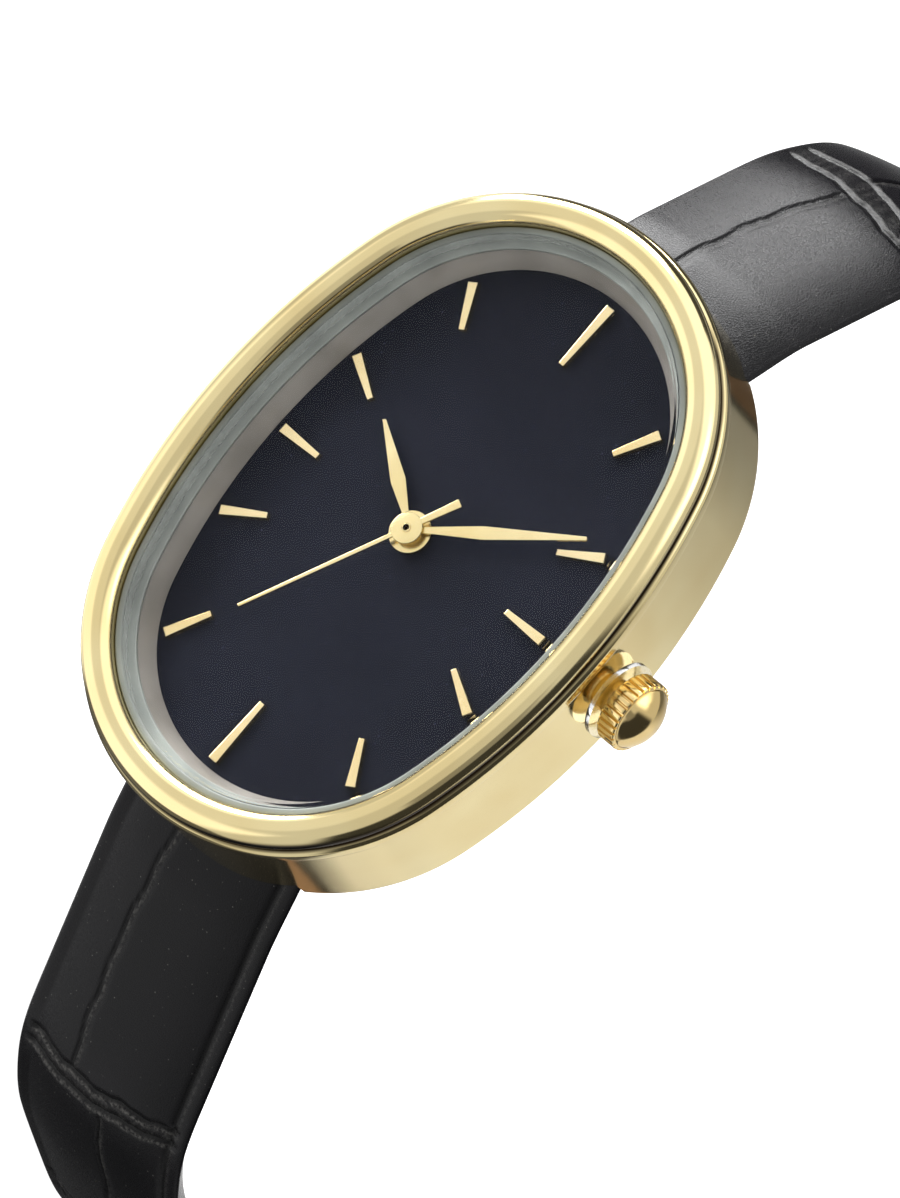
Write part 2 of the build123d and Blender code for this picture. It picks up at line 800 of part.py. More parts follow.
def bridge_screws():
    screws = []
    for x, y in screw_places():
        head = disc(screw_head_radius, bridge_low - screw_head_height - seat_gap, bridge_low - seat_gap)
        shank = disc(screw_radius, bridge_low - screw_head_height / 2, plate_low - pivot_gap)
        slot = Pos(0, 0, bridge_low - screw_head_height) * Box(
            2 * screw_head_radius + overrun, screw_slot_width, screw_head_height)
        screws.append(Pos(x, y) * (head + shank - slot))
    return Compound(screws)


def battery():
    cell = disc(battery_radius, battery_low + battery_step, battery_low + battery_thickness)
    cap = disc(battery_rim_radius, battery_low, battery_low + battery_step + seat_gap)
    return Pos(battery_x, battery_y) * (cell + cap)


def battery_contact():
    """A thin spring strip under the cell, with its foot on the train bridge."""
    high = battery_low - seat_gap
    strip = block(battery_x - contact_width / 2, battery_x + contact_width / 2,
                  battery_y - battery_rim_radius, contact_foot_y, high - contact_thickness, high)
    foot = block(battery_x - contact_width, battery_x + contact_width, contact_foot_y - contact_width,
                 contact_foot_y, high - contact_thickness, bridge_low - seat_gap)
    return strip + foot


def coil():
    """Copper winding between two cheeks of its bobbin."""
    wire = rod(coil_radius, -coil_length / 2, coil_length / 2, 0, 0)
    cheeks = rod(coil_bobbin_radius, -coil_length / 2 - coil_bobbin_width, -coil_length / 2, 0, 0)
    cheeks += rod(coil_bobbin_radius, coil_length / 2, coil_length / 2 + coil_bobbin_width, 0, 0)
    hollow = block(-coil_length, coil_length, -core_width / 2 - snug, core_width / 2 + snug,
                   -core_thickness / 2 - snug, core_thickness / 2 + snug)
    return Pos(coil_x, coil_y, coil_z) * (wire + cheeks - hollow)


def stator():
    """Soft iron core through the coil, with two arms to the rotor's hole."""
    half = coil_length / 2 + coil_bobbin_width + core_width
    bar = block(coil_x - half, coil_x + half, coil_y - core_width / 2, coil_y + core_width / 2,
                coil_z - core_thickness / 2, coil_z + core_thickness / 2)
    parts = bar
    for end in (-1, 1):
        near = coil_x + end * half
        low_x, high_x = sorted((near, near - end * core_width))
        parts += block(low_x, high_x, coil_y - core_width / 2, coil_y + core_width / 2, stator_low,
                       coil_z + core_thickness / 2)
        parts += block(low_x, high_x, rotor_y - stator_arm / 2, coil_y + core_width / 2, stator_low,
                       stator_high)
    sheet = block(coil_x - half, coil_x + half, rotor_y - stator_arm / 2, rotor_y + stator_arm / 2,
                  stator_low, stator_high)
    sheet += disc(rotor_magnet_radius + stator_arm / 2, stator_low, stator_high, rotor_x, rotor_y)
    hole = disc(rotor_magnet_radius + stator_gap, stator_low - overrun, stator_high + overrun,
                rotor_x, rotor_y)
    clear = disc(fourth_module * pinion_teeth, stator_low - overrun, stator_high + overrun,
                 between_x, between_y)
    return parts + sheet - hole - clear


def circuit_board():
    board = block(board_x_low, board_x_high, board_y_low, board_y_high, board_low,
                  board_low + board_thickness)
    chip = block(chip_x - chip_half, chip_x + chip_half, chip_y - chip_half, chip_y + chip_half,
                 board_low + board_thickness - seat_gap, board_low + board_thickness + chip_height)
    for x, y in screw_places():
        board -= disc(screw_head_radius + battery_gap, bridge_low, plate_low, x, y)
    return board + chip


def quartz_can():
    low_y = (board_y_low + board_y_high - can_length) / 2
    can = Cylinder(can_radius, can_length)
    height = board_low + board_thickness + snug + can_radius
    can = Pos(can_x, low_y + can_length / 2, height) * Rot(90, 0, 0) * can
    return can


def setting_lever():
    """Holds the setting pinion in its place along the stem."""
    half = lever_width / 2
    plate = block(lever_x - half, lever_x + half, lever_y, lever_y + lever_length - lever_width,
                  plate_low - lever_thickness - snug, plate_low - snug)
    post = disc(half, plate_low - lever_thickness * 3, plate_low - snug, lever_x,
                lever_y + lever_length - lever_width)
    fork = block(lever_x - half, lever_x + half, crown_axis_y + setting_radius + battery_gap * 3,
                 lever_y + half, plate_low - lever_thickness * 3, plate_low - snug)
    return plate + post + fork


def movement_holder():
    keep = 2 * case_half_width
    ring = oval(bore_inset + snug, holder_low, movement_top)
    half = bore_half_length - snug
    ring &= block(-keep, keep, -half, half, -keep, keep)
    ring -= plate_outline(holder_gap, holder_low - overrun, movement_top + overrun)
    lip_inset = bore_inset + back_seal_width
    gap_top = back_thickness + back_lip_height + snug
    lip_half = bore_half_length - back_seal_width
    low_part = oval(lip_inset - back_lip_width, 0, gap_top)
    low_part -= oval(lip_inset + 2 * back_lip_width, -overrun, gap_top + overrun)
    ring -= low_part
    for side in (1, -1):
        y_low, y_high = sorted((side * (lip_half - 2 * back_lip_width), side * (lip_half + overrun)))
        ring -= block(-keep, keep, y_low, y_high, 0, gap_top)
    ring -= stem_slot(tube_radius + battery_gap, holder_low - overrun) - block(
        -keep, plate_half_x, -keep, keep, -keep, keep)
    ring -= rod(tube_radius + battery_gap, plate_half_x - overrun, case_half_width, crown_axis_y,
                crown_axis_z)
    return ring


# The strap: each side is an upper leather over a lining, along straight runs and arcs.
# Points of a route are across (Y) and up (Z), and the first is the spring bar.
pin_across = strap_reach * pin_reach_across_share
pin_level = -strap_drop
buckle_barrel_radius = 1.3
frame_reach = 9.0
frame_bar_radius = 0.75
ground_level = pin_level - frame_reach - frame_bar_radius
tail_level = ground_level + strap_thickness / 2
strap_taper = 1.6
strap_buckle_width = strap_width - strap_taper
taper_start = -15.0
keeper_run = 20.0
taper_end = pin_level + keeper_run
short_route = [(bar_offset, bar_height)] + placed(short_drop_shares, 1)
long_route = [(-bar_offset, bar_height)] + placed(long_drop_shares, -1) + [
    (-strap_reach * tail_turn_share, tail_level), (-strap_reach * tail_end_share, tail_level)]
short_rounds = [bend_radius * share for share in short_bend_shares]
long_rounds = [bend_radius * share for share in long_bend_shares]


def shifted(points, offset):
    """The same run of points, moved sideways to the left of its direction."""
    normals = []
    for (y0, z0), (y1, z1) in zip(points, points[1:]):
        long = hypot(y1 - y0, z1 - z0)
        normals.append((-(z1 - z0) / long, (y1 - y0) / long))
    moved = [(points[0][0] + offset * normals[0][0], points[0][1] + offset * normals[0][1])]
    for point, a, b in zip(points[1:-1], normals, normals[1:]):
        scale = offset / (1 + a[0] * b[0] + a[1] * b[1])
        moved.append((point[0] + scale * (a[0] + b[0]), point[1] + scale * (a[1] + b[1])))
    last = points[-1]
    moved.append((last[0] + offset * normals[-1][0], last[1] + offset * normals[-1][1]))
    return moved


def shifted_rounds(points, rounds, offset):
    """Arc radii of the moved run: smaller inside a bend, larger outside."""
    result = []
    for i, radius in enumerate(rounds):
        (y0, z0), (y1, z1), (y2, z2) = points[i], points[i + 1], points[i + 2]
        turn = (y1 - y0) * (z2 - z1) - (z1 - z0) * (y2 - y1)
        result.append(radius - offset if turn > 0 else radius + offset)
    return result


def line_of(points, rounds, offset):
    radii = [0] + shifted_rounds(points, rounds, offset) + [0]
    return FilletPolyline(*shifted(points, offset), radius=radii[1:-1])


def band(points, rounds, inner, outer, wide):
    """A band between two lines that run alongside the route."""
    near = line_of(points, rounds, inner)
    far = line_of(points, rounds, outer)
    face = make_face([near, far, Line(near @ 0, far @ 0), Line(near @ 1, far @ 1)])
    return extrude(Plane.YZ * face, amount=wide / 2, both=True)


def strap_width_limits():
    """The strap keeps its width below the case and narrows towards the buckle."""
    high = bezel_top
    low = ground_level - overrun
    half, narrow = strap_width / 2, strap_buckle_width / 2
    shape = Polygon((-half, high), (-half, taper_start), (-narrow, taper_end), (-narrow, low),
                    (narrow, low), (narrow, taper_end), (half, taper_start), (half, high), align=None)
    return extrude(Plane.XZ * shape, amount=3 * case_half_length, both=True)


def bar_barrel(y, z, radius, wide):
    return rod(radius, -wide / 2, wide / 2, y, z)


hole_radius = 0.85
hole_step = 6.0
hole_first_drop = 32.0
hole_count = 5
tongue_notch_width = 2.3


def punched(part):
    """Adjusting holes down the hanging stretch of the long side."""
    for step in range(hole_count):
        hole = disc(hole_radius, strap_reach - 3 * strap_thickness, strap_reach + 2 * strap_thickness)
        part -= Pos(0, 0, -hole_first_drop - hole_step * step) * Rot(90, 0, 0) * hole
    return part


def tail_tip(part):
    """The free end, which lies on the ground, is round in plan."""
    radius = strap_buckle_width / 2
    end_y = long_route[-1][0] - radius
    low, high = ground_level - overrun, ground_level + 2 * strap_thickness
    keep = block(-strap_width, strap_width, -3 * case_half_length, end_y, low, high)
    hanging = block(-strap_width, strap_width, -3 * case_half_length, 0, high, bezel_top)
    return part & (keep + hanging + disc(radius, low, high, 0, end_y))


def strap_short(layer):
    half = strap_thickness / 2
    split = -half + lining_thickness
    barrel_hole = bar_radius + seat_gap
    near, far = (split + seat_gap, half) if layer == "upper" else (-half, split)
    part = band(short_route, short_rounds, near, far, strap_width)
    part &= strap_width_limits()
    ends = ((bar_offset, bar_height, strap_end_radius), (pin_across, pin_level, buckle_barrel_radius))
    for y, z, radius in ends:
        wide = strap_width if z == bar_height else strap_buckle_width
        if layer == "upper":
            part += bar_barrel(y, z, radius, wide)
            part -= bar_barrel(y, z, barrel_hole, wide + 2 * overrun)
        else:
            part -= bar_barrel(y, z, radius + seat_gap, wide + 2 * overrun)
    notch = buckle_barrel_radius + overrun / 2
    part -= block(-tongue_notch_width / 2, tongue_notch_width / 2, pin_across - notch,
                  pin_across + notch, pin_level - notch, pin_level + notch)
    return part


def strap_long(layer):
    half = strap_thickness / 2
    split = half - lining_thickness
    near, far = (-half, split - seat_gap) if layer == "upper" else (split, half)
    part = band(long_route, long_rounds, near, far, strap_width)
    part &= strap_width_limits()
    if layer == "upper":
        part += bar_barrel(-bar_offset, bar_height, strap_end_radius, strap_width)
        part -= bar_barrel(-bar_offset, bar_height, bar_radius + seat_gap, strap_width + 2 * overrun)
    else:
        part -= bar_barrel(-bar_offset, bar_height, strap_end_radius + seat_gap,
                           strap_width + 2 * overrun)
    return punched(tail_tip(part))


def spring_bar(y, z, wide):
    """A thin tube with a flange and a spring-loaded pin at each end."""
    half = wide / 2
    bar = rod(bar_radius, -half, half, y, z)
    for end in (-1, 1):
        reach = half + pocket_side_gap + bar_pin_reach * bar_pin_share
        low, high = sorted((end * (half - overrun / 2), end * reach))
        bar += rod(bar_pin_radius, low, high, y, z)
        low, high = sorted((end * half, end * (half + bar_flange_width / 2)))
        bar += rod(bar_flange_radius, low, high, y, z)
    return bar


# The pin buckle: a rectangular frame and a tongue turn on the pin at the short strap's end.
# It is drawn about the pin with the strap coming along Y and its outer face down, then turned
# to hang; a buckled strap would pass between the frame and the pin.
strap_gap = 0.15
frame_drop = 1.3
frame_strap_gap = 0.3
frame_side_gap = 0.3
frame_inner_half = strap_buckle_width / 2 + frame_side_gap
frame_arm_width = 1.3
frame_bar_y = -frame_reach
frame_bar_z = -frame_drop - strap_thickness / 2 - frame_strap_gap - frame_bar_radius
tongue_width = 1.3
tongue_thickness = 0.8
tongue_ring_radius = 1.1
tongue_knee_y = -2.2
tongue_knee_z = -4.1
tongue_tip_share = 0.6
frame_notch_depth = 0.35
buckle_pin_radius = 0.5
pin_hole_share = 0.7
pin_reach_share = 0.65
frame_eye_radius = 1.25
frame_arm_thickness = 1.4


def at_pin(part):
    return Pos(0, pin_across, pin_level) * Rot(90, 0, 0) * part


def buckle_frame():
    """Two arms from the pin's eyes to a round bar, which has a notch for the tongue."""
    outer = frame_inner_half + frame_arm_width
    frame = rod(frame_bar_radius, -outer, outer, frame_bar_y, frame_bar_z)
    tilt = degrees(atan2(frame_bar_z, frame_bar_y))
    long = hypot(frame_bar_y, frame_bar_z)
    for end in (-1, 1):
        low, high = sorted((end * frame_inner_half, end * outer))
        eye = rod(frame_eye_radius, low, high, 0, 0)
        arm = block(low, high, 0, long, -frame_arm_thickness / 2, frame_arm_thickness / 2)
        frame += eye + Rot(tilt, 0, 0) * arm
    outer_edge = frame_bar_z - frame_bar_radius
    frame -= block(-tongue_width / 2 - pocket_side_gap, tongue_width / 2 + pocket_side_gap,
                   frame_bar_y - overrun - frame_bar_radius, frame_bar_y + overrun + frame_bar_radius,
                   outer_edge - overrun, outer_edge + frame_notch_depth)
    for end in (-1, 1):
        reach = frame_inner_half + frame_arm_width * pin_hole_share
        low, high = sorted((end * (frame_inner_half - overrun), end * reach))
        frame -= rod(buckle_pin_radius + seat_gap, low, high, 0, 0)
    return at_pin(frame)


def buckle_pin():
    reach = frame_inner_half + frame_arm_width * pin_reach_share
    return at_pin(rod(buckle_pin_radius, -reach, reach, 0, 0))


def buckle_tongue():
    tip_y = frame_bar_y - frame_bar_radius * tongue_tip_share
    tip_z = frame_bar_z - frame_bar_radius + frame_notch_depth - running - tongue_thickness / 2
    half = tongue_thickness / 2
    points = ((0, 0), (tongue_knee_y, tongue_knee_z), (tip_y, tip_z))
    left = shifted(points, half)
    right = shifted(points, -half)
    face = Polygon(*left, *reversed(right), align=None)
    arm = extrude(Plane.YZ * face, amount=tongue_width / 2, both=True)
    ring = rod(tongue_ring_radius, -tongue_width / 2, tongue_width / 2, 0, 0)
    hole = rod(buckle_pin_radius + running, -tongue_width, tongue_width, 0, 0)
    return at_pin(arm + ring - hole)


fixed_keeper_thickness = 0.9
free_keeper_thickness = 0.7
fixed_keeper_y = 5.0
fixed_keeper_width = 3.4
free_keeper_y = 11.6
free_keeper_width = 3.6
fixed_keeper_gap = 0.12
free_keeper_gap = 0.3
keeper_round = 0.3
second_layer_level = -buckle_barrel_radius - strap_gap - strap_thickness / 2


def keeper(y, wide, gap, wall):
    """A leather loop with room for both layers of the closed strap."""
    half_x = strap_buckle_width / 2 + gap
    high = strap_thickness / 2 + gap
    low = second_layer_level - strap_thickness / 2 - gap
    ring = block(-half_x - wall, half_x + wall, y - wide / 2, y + wide / 2, low - wall, high + wall)
    ring = fillet(ring.edges().filter_by(Axis.Y), wall)
    hole = block(-half_x, half_x, y - wide, y + wide, low, high)
    hole = fillet(hole.edges().filter_by(Axis.Y), keeper_round)
    return at_pin(ring - hole)


long_angles = (0, 180)
short_angles = tuple(30 * i for i in range(12) if i % 6)

print("side arc radius", round(side_radius, 2))
save(case_body(), "case_body")
save(case_back(), "case_back")
save(case_back_gasket(), "case_back_gasket")
save(bezel(), "bezel")
save(crystal_gasket(), "crystal_gasket")
save(crystal(), "crystal")
save(rehaut_ring(), "rehaut_ring")
save(dial(), "dial")
save(Compound([marker(a, long_marker_length) for a in long_angles]), "long_hour_markers")
save(Compound([marker(a, short_marker_length) for a in short_angles]), "short_hour_markers")
save(hour_hand(), "hour_hand")
save(minute_hand(), "minute_hand")
save(seconds_hand(), "seconds_hand")
save(crown(), "crown")
save(crown_gasket(), "crown_gasket")
save(crown_spacer(), "crown_spacer")
save(crown_tube(), "crown_tube")
save(winding_stem(), "winding_stem")
save(setting_pinion(), "setting_pinion")
save(setting_lever(), "setting_lever")
save(main_plate(), "main_plate")
save(train_bridge(), "train_bridge")
save(bridge_screws(), "bridge_screws")
save(fourth_wheel(), "fourth_wheel")
save(third_wheel(), "third_wheel")
save(centre_wheel(), "centre_wheel")
save(intermediate_wheel(), "intermediate_wheel")
save(rotor(), "rotor")
save(cannon_pinion(), "cannon_pinion")
save(minute_wheel(), "minute_wheel")
save(hour_wheel(), "hour_wheel")
save(battery(), "battery")
save(battery_contact(), "battery_contact")
save(coil(), "coil")
save(stator(), "stator")
save(circuit_board(), "circuit_board")
save(quartz_can(), "quartz_can")
save(movement_holder(), "movement_holder")
save(strap_short("upper"), "short_strap")
save(strap_short("lining"), "short_strap_lining")
save(strap_long("upper"), "long_strap")
save(strap_long("lining"), "long_strap_lining")
save(spring_bar(bar_offset, bar_height, strap_width), "spring_bar_twelve")
save(spring_bar(-bar_offset, bar_height, strap_width), "spring_bar_six")
save(buckle_frame(), "buckle_frame")
save(buckle_tongue(), "buckle_tongue")
save(buckle_pin(), "buckle_pin")
save(keeper(fixed_keeper_y, fixed_keeper_width, fixed_keeper_gap, fixed_keeper_thickness),
     "fixed_keeper")
save(keeper(free_keeper_y, free_keeper_width, free_keeper_gap, free_keeper_thickness), "free_keeper")
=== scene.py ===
import json
import bpy
import numpy as np
from mathutils import Matrix, Vector


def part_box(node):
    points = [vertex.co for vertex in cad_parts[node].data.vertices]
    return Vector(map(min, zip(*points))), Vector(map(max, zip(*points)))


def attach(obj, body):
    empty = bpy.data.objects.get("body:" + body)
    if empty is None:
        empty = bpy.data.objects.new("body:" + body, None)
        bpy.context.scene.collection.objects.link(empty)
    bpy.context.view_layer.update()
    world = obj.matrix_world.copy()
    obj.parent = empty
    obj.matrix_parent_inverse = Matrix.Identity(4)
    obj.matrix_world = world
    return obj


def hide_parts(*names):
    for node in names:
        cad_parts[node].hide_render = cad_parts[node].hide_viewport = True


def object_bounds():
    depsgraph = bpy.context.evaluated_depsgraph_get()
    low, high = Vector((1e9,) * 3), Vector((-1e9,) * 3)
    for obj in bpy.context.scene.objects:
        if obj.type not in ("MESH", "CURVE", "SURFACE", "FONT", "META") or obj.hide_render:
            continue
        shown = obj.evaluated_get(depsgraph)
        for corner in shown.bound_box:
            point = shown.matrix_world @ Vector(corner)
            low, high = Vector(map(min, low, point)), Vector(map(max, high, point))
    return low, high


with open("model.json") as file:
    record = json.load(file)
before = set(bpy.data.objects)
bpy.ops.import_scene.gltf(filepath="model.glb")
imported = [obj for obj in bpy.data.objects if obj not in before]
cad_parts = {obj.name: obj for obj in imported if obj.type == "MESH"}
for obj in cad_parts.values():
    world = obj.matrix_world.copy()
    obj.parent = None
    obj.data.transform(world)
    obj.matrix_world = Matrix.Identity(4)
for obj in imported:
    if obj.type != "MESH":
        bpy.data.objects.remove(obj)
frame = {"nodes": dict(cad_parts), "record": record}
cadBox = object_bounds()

mm = 0.001
bodyOf = {node: body for body, nodes in frame["record"]["behaviour"]["bodies"].items() for node in nodes}
print("frame loaded:", len(frame["nodes"]), "nodes")


def boxOf(node):
    low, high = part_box(node)
    return np.array(low) / mm, np.array(high) / mm


def unit(vectors):
    return vectors / np.linalg.norm(vectors, axis=-1, keepdims=True)


# Vectors in a plane turned a quarter anticlockwise
def quarterTurn(vectors):
    return np.stack([-vectors[..., 1], vectors[..., 0]], -1)


# Distance travelled along a line at each of its points
def distanceAlong(line):
    return np.concatenate([[0], np.cumsum(np.linalg.norm(np.diff(line, axis=0), axis=1))])


# Points of a line in a plane at given distances along it
def lineAt(distance, travelled, line):
    return np.stack([np.interp(distance, travelled, line[:, k]) for k in (0, 1)], -1)


def rectangle(left, low, right, high):
    return [(left, low), (right, low), (right, high), (left, high)]


# Six times the volume inside the faces, each split into a fan; it is negative if they face inwards
def signedVolume(points, faces):
    total = 0.0
    for size in {len(face) for face in faces}:
        group = points[np.array([face for face in faces if len(face) == size])]
        for k in range(1, size - 1):
            total += np.einsum("ij,ij->", group[:, 0], np.cross(group[:, k], group[:, k + 1]))
    return total


# Makes a piece that stands for a node, from points in millimetres, with its faces turned outwards.
# Its material is the node's in the table of finishes.
def newPiece(name, node, points, faces, uv=None, weighted=False, sharpAngle=None, marks=None):
    points = np.asarray(points, float).reshape(-1, 3)
    mesh = bpy.data.meshes.new(name)
    mesh.from_pydata((points * mm).tolist(), [], [list(map(int, face)) for face in faces])
    mesh.update()
    if signedVolume(points, faces) < 0:
        mesh.flip_normals()
    for label, values in (marks or {}).items():
        mesh.attributes.new(label, "FLOAT", "POINT").data.foreach_set("value", np.asarray(values, np.float32))
    mesh.polygons.foreach_set("use_smooth", np.ones(len(mesh.polygons), bool))
    if sharpAngle:
        mesh.set_sharp_from_angle(angle=np.radians(sharpAngle))
    if uv is not None:
        loops = np.empty(len(mesh.loops), np.int32)
        mesh.loops.foreach_get("vertex_index", loops)
        spread = np.asarray(uv, np.float32).reshape(-1, 2)[loops]
        mesh.uv_layers.new(name="surface").data.foreach_set("uv", spread.ravel())
    piece = bpy.data.objects.new(name, mesh)
    bpy.context.scene.collection.objects.link(piece)
    if weighted:
        piece.modifiers.new("weighted", "WEIGHTED_NORMAL").keep_sharp = True
    slotName, material = finishOf[node]
    mesh.materials.append(material)
    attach(piece, bodyOf[node])
    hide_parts(node)
    return piece


# Quads between the rows and columns of a grid of points; either direction may close on itself
def gridFaces(rows, columns, closeRows, closeColumns):
    i = np.arange(rows if closeRows else rows - 1)[:, None]
    j = np.arange(columns if closeColumns else columns - 1)[None, :]
    nextI, nextJ = (i + 1) % rows, (j + 1) % columns
    quads = np.stack(np.broadcast_arrays(i * columns + j, nextI * columns + j,
                                         nextI * columns + nextJ, i * columns + nextJ), -1)
    return quads.reshape(-1, 4).tolist()


# Faces of a tube of rings of points, with a flat face over each end
def tubeFaces(rings, count):
    return gridFaces(rings, count, False, True) + [
        list(range(count)), list(range((rings - 1) * count, rings * count))]


# The arc that rounds a corner and touches both its sides, at even turns from the side before
def cornerArc(corner, before, after, radius, steps):
    a, b = unit(before - corner), unit(after - corner)
    half = np.arccos(np.clip(a @ b, -1, 1)) / 2
    centre = corner + unit(a + b) * radius / np.sin(half)
    first, last = (corner + side * radius / np.tan(half) - centre for side in (a, b))
    turn = np.pi - 2 * half
    t = np.linspace(0, 1, steps)[:, None]
    return centre + (np.sin((1 - t) * turn) * first + np.sin(t * turn) * last) / np.sin(turn)


# Rounds each corner of a closed outline that has a radius
def roundedLoop(corners, radii, steps=7):
    corners = np.array(corners, float)
    around = zip(corners, np.roll(corners, 1, 0), np.roll(corners, -1, 0), radii)
    return np.vstack([cornerArc(corner, before, after, radius, steps) if radius > 0 else corner[None]
                      for corner, before, after, radius in around])


# The oval case, in millimetres; sizes come from the carried-over nodes where they can
(bodyLow, bodyHigh), (crystalLow, crystalHigh), (dialLow, dialHigh) = (
    boxOf(node) for node in ("case_body", "crystal", "dial"))
ovalCase = {
    "halfWidth": bodyHigh[0], "halfLength": bodyHigh[1], "endInset": 0.95,
    "foot": bodyLow[2], "seat": bodyHigh[2], "shoulderDrop": 1.15,
    "wallInset": 0.3, "rebateInset": 0.85, "pocketInset": 2.0, "boreInset": 5.0, "backInset": 4.2,
    "backHalfLength": 12.65, "boreHalfLength": 12.25, "dialSeat": dialLow[2] - 0.02,
    "glassShelf": 6.57, "backFloor": 0.92, "flatStart": 0.46, "underRows": 40, "wallRows": 24,
    "rounds": (0.45, 0.08, 0.25, 0.5, 0.05, 0, 0, 0, 0, 0, 0, 0.05), "turnSteps": 9, "segments": 576,
}
endRadius = ovalCase["halfWidth"] - ovalCase["endInset"]
sideRadius = ((ovalCase["halfLength"] ** 2 + ovalCase["halfWidth"] ** 2
               - 2 * ovalCase["halfLength"] * endRadius) / (2 * (ovalCase["halfWidth"] - endRadius)))
endCentre = ovalCase["halfLength"] - endRadius
sideCentre = sideRadius - ovalCase["halfWidth"]
ringAngles = np.linspace(0, 2 * np.pi, ovalCase["segments"], endpoint=False)


# Four tangent arcs, drawn in by the inset; the angle is the direction that the outline faces
def ovalAt(angle, inset):
    c, s = np.cos(angle), np.sin(angle)
    onSide = np.abs(s) * sideCentre < np.abs(c) * endCentre
    radius = np.where(onSide, sideRadius, endRadius) - inset
    x = np.where(onSide, -np.sign(c) * sideCentre, 0) + radius * c
    y = np.where(onSide, 0, np.sign(s) * endCentre) + radius * s
    return x, y


# A closed profile of (inset, height) carried round the oval
def ovalRing(name, node, loop, **rest):
    x, y = ovalAt(ringAngles[:, None], loop[None, :, 0])
    points = np.stack(np.broadcast_arrays(x, y, loop[None, :, 1]), -1)
    newPiece(name, node, points, gridFaces(len(ringAngles), len(loop), True, True), **rest)


# The strap's sizes; its two routes run as (along twelve to six, up) from the spring bars, and the
# case's pockets for the strap's ends follow them
strapPlan = {
    "barAcross": bodyHigh[1] - 3.9, "barUp": 1.1, "reach": 34.4, "drop": 66.5, "bend": 10.0,
    "thickness": 2.2, "lining": 0.8, "endRadius": 1.35, "pocketGap": 0.3, "sideGap": 0.2,
    "width": 12.0, "buckleWidth": 10.4, "taperStart": -15.0, "taperEnd": -46.5,
    "tailLevel": -75.15, "tailTurn": 0.917, "tailEnd": 0.436,
}
shortShares = ((0.767, 0.128), (0.84, 0.185), (0.892, 0.295), (0.89, 0.421), (0.87, 0.72), (0.87, 1))
longShares = ((0.869, 0.153), (0.927, 0.209), (1, 0.364), (0.997, 0.489), (0.96, 0.85))
shortBends = (0.9, 0.7, 1.4, 4, 6)
longBends = (0.7, 1.2, 1.4, 3, 3, 1.2)


# A side's turning points: its bar, then shares of the strap's whole reach and drop
def routeOf(side, shares):
    return [(side * strapPlan["barAcross"], strapPlan["barUp"])] + [
        (side * strapPlan["reach"] * out, -strapPlan["drop"] * down) for out, down in shares]


shortRoute = routeOf(1, shortShares)
longRoute = routeOf(-1, longShares) + [
    (-strapPlan["reach"] * strapPlan[end], strapPlan["tailLevel"]) for end in ("tailTurn", "tailEnd")]
pinAcross, pinUp = shortRoute[-1]


# Height of the pocket's ceiling over the strap's end, from the round of its end and its slope
def pocketCeiling(x, y):
    across = np.abs(y)
    first = np.where(y > 0, shortRoute[1][0], -longRoute[1][0])
    firstUp = np.where(y > 0, shortRoute[1][1], longRoute[1][1])
    bar, nowhere = strapPlan["barUp"], -99
    slope = np.arctan2(bar - firstUp, first - strapPlan["barAcross"])
    reach = strapPlan["endRadius"] + strapPlan["pocketGap"]
    lift = strapPlan["thickness"] / 2 + strapPlan["pocketGap"]
    past = across - strapPlan["barAcross"]
    ball = np.where(np.abs(past) < reach, bar + np.sqrt(np.maximum(reach ** 2 - past ** 2, 0)), nowhere)
    line = np.where(past > lift * np.sin(slope), bar + lift / np.cos(slope) - past * np.tan(slope), nowhere)
    inside = (np.abs(x) < strapPlan["width"] / 2 + strapPlan["sideGap"]) & (past > -reach)
    return np.where(inside, np.maximum(ball, line), nowhere)


# A smooth step from 0 to 1 between two values
def softStep(value, low, high):
    t = np.clip((value - low) / (high - low), 0, 1)
    return t * t * (3 - 2 * t)


# The seam between bezel and shoulder is painted dark, as painted shade and reflection: its strength round the
# oval, gone towards twelve, and how far it climbs the bezel, most between four and six o'clock
seam = {"middle": 305, "climb": 0.32, "narrowing": 0.75, "fadeFrom": 1.9, "fadeTo": 2.15}
seamAway = (ringAngles[:, None] - np.radians(seam["middle"]) + np.pi) % (2 * np.pi) - np.pi
seamWidth = seam["climb"] * np.exp(-(seamAway / seam["narrowing"]) ** 2)
seamShade = 1 - softStep(np.abs(seamAway), seam["fadeFrom"], seam["fadeTo"])


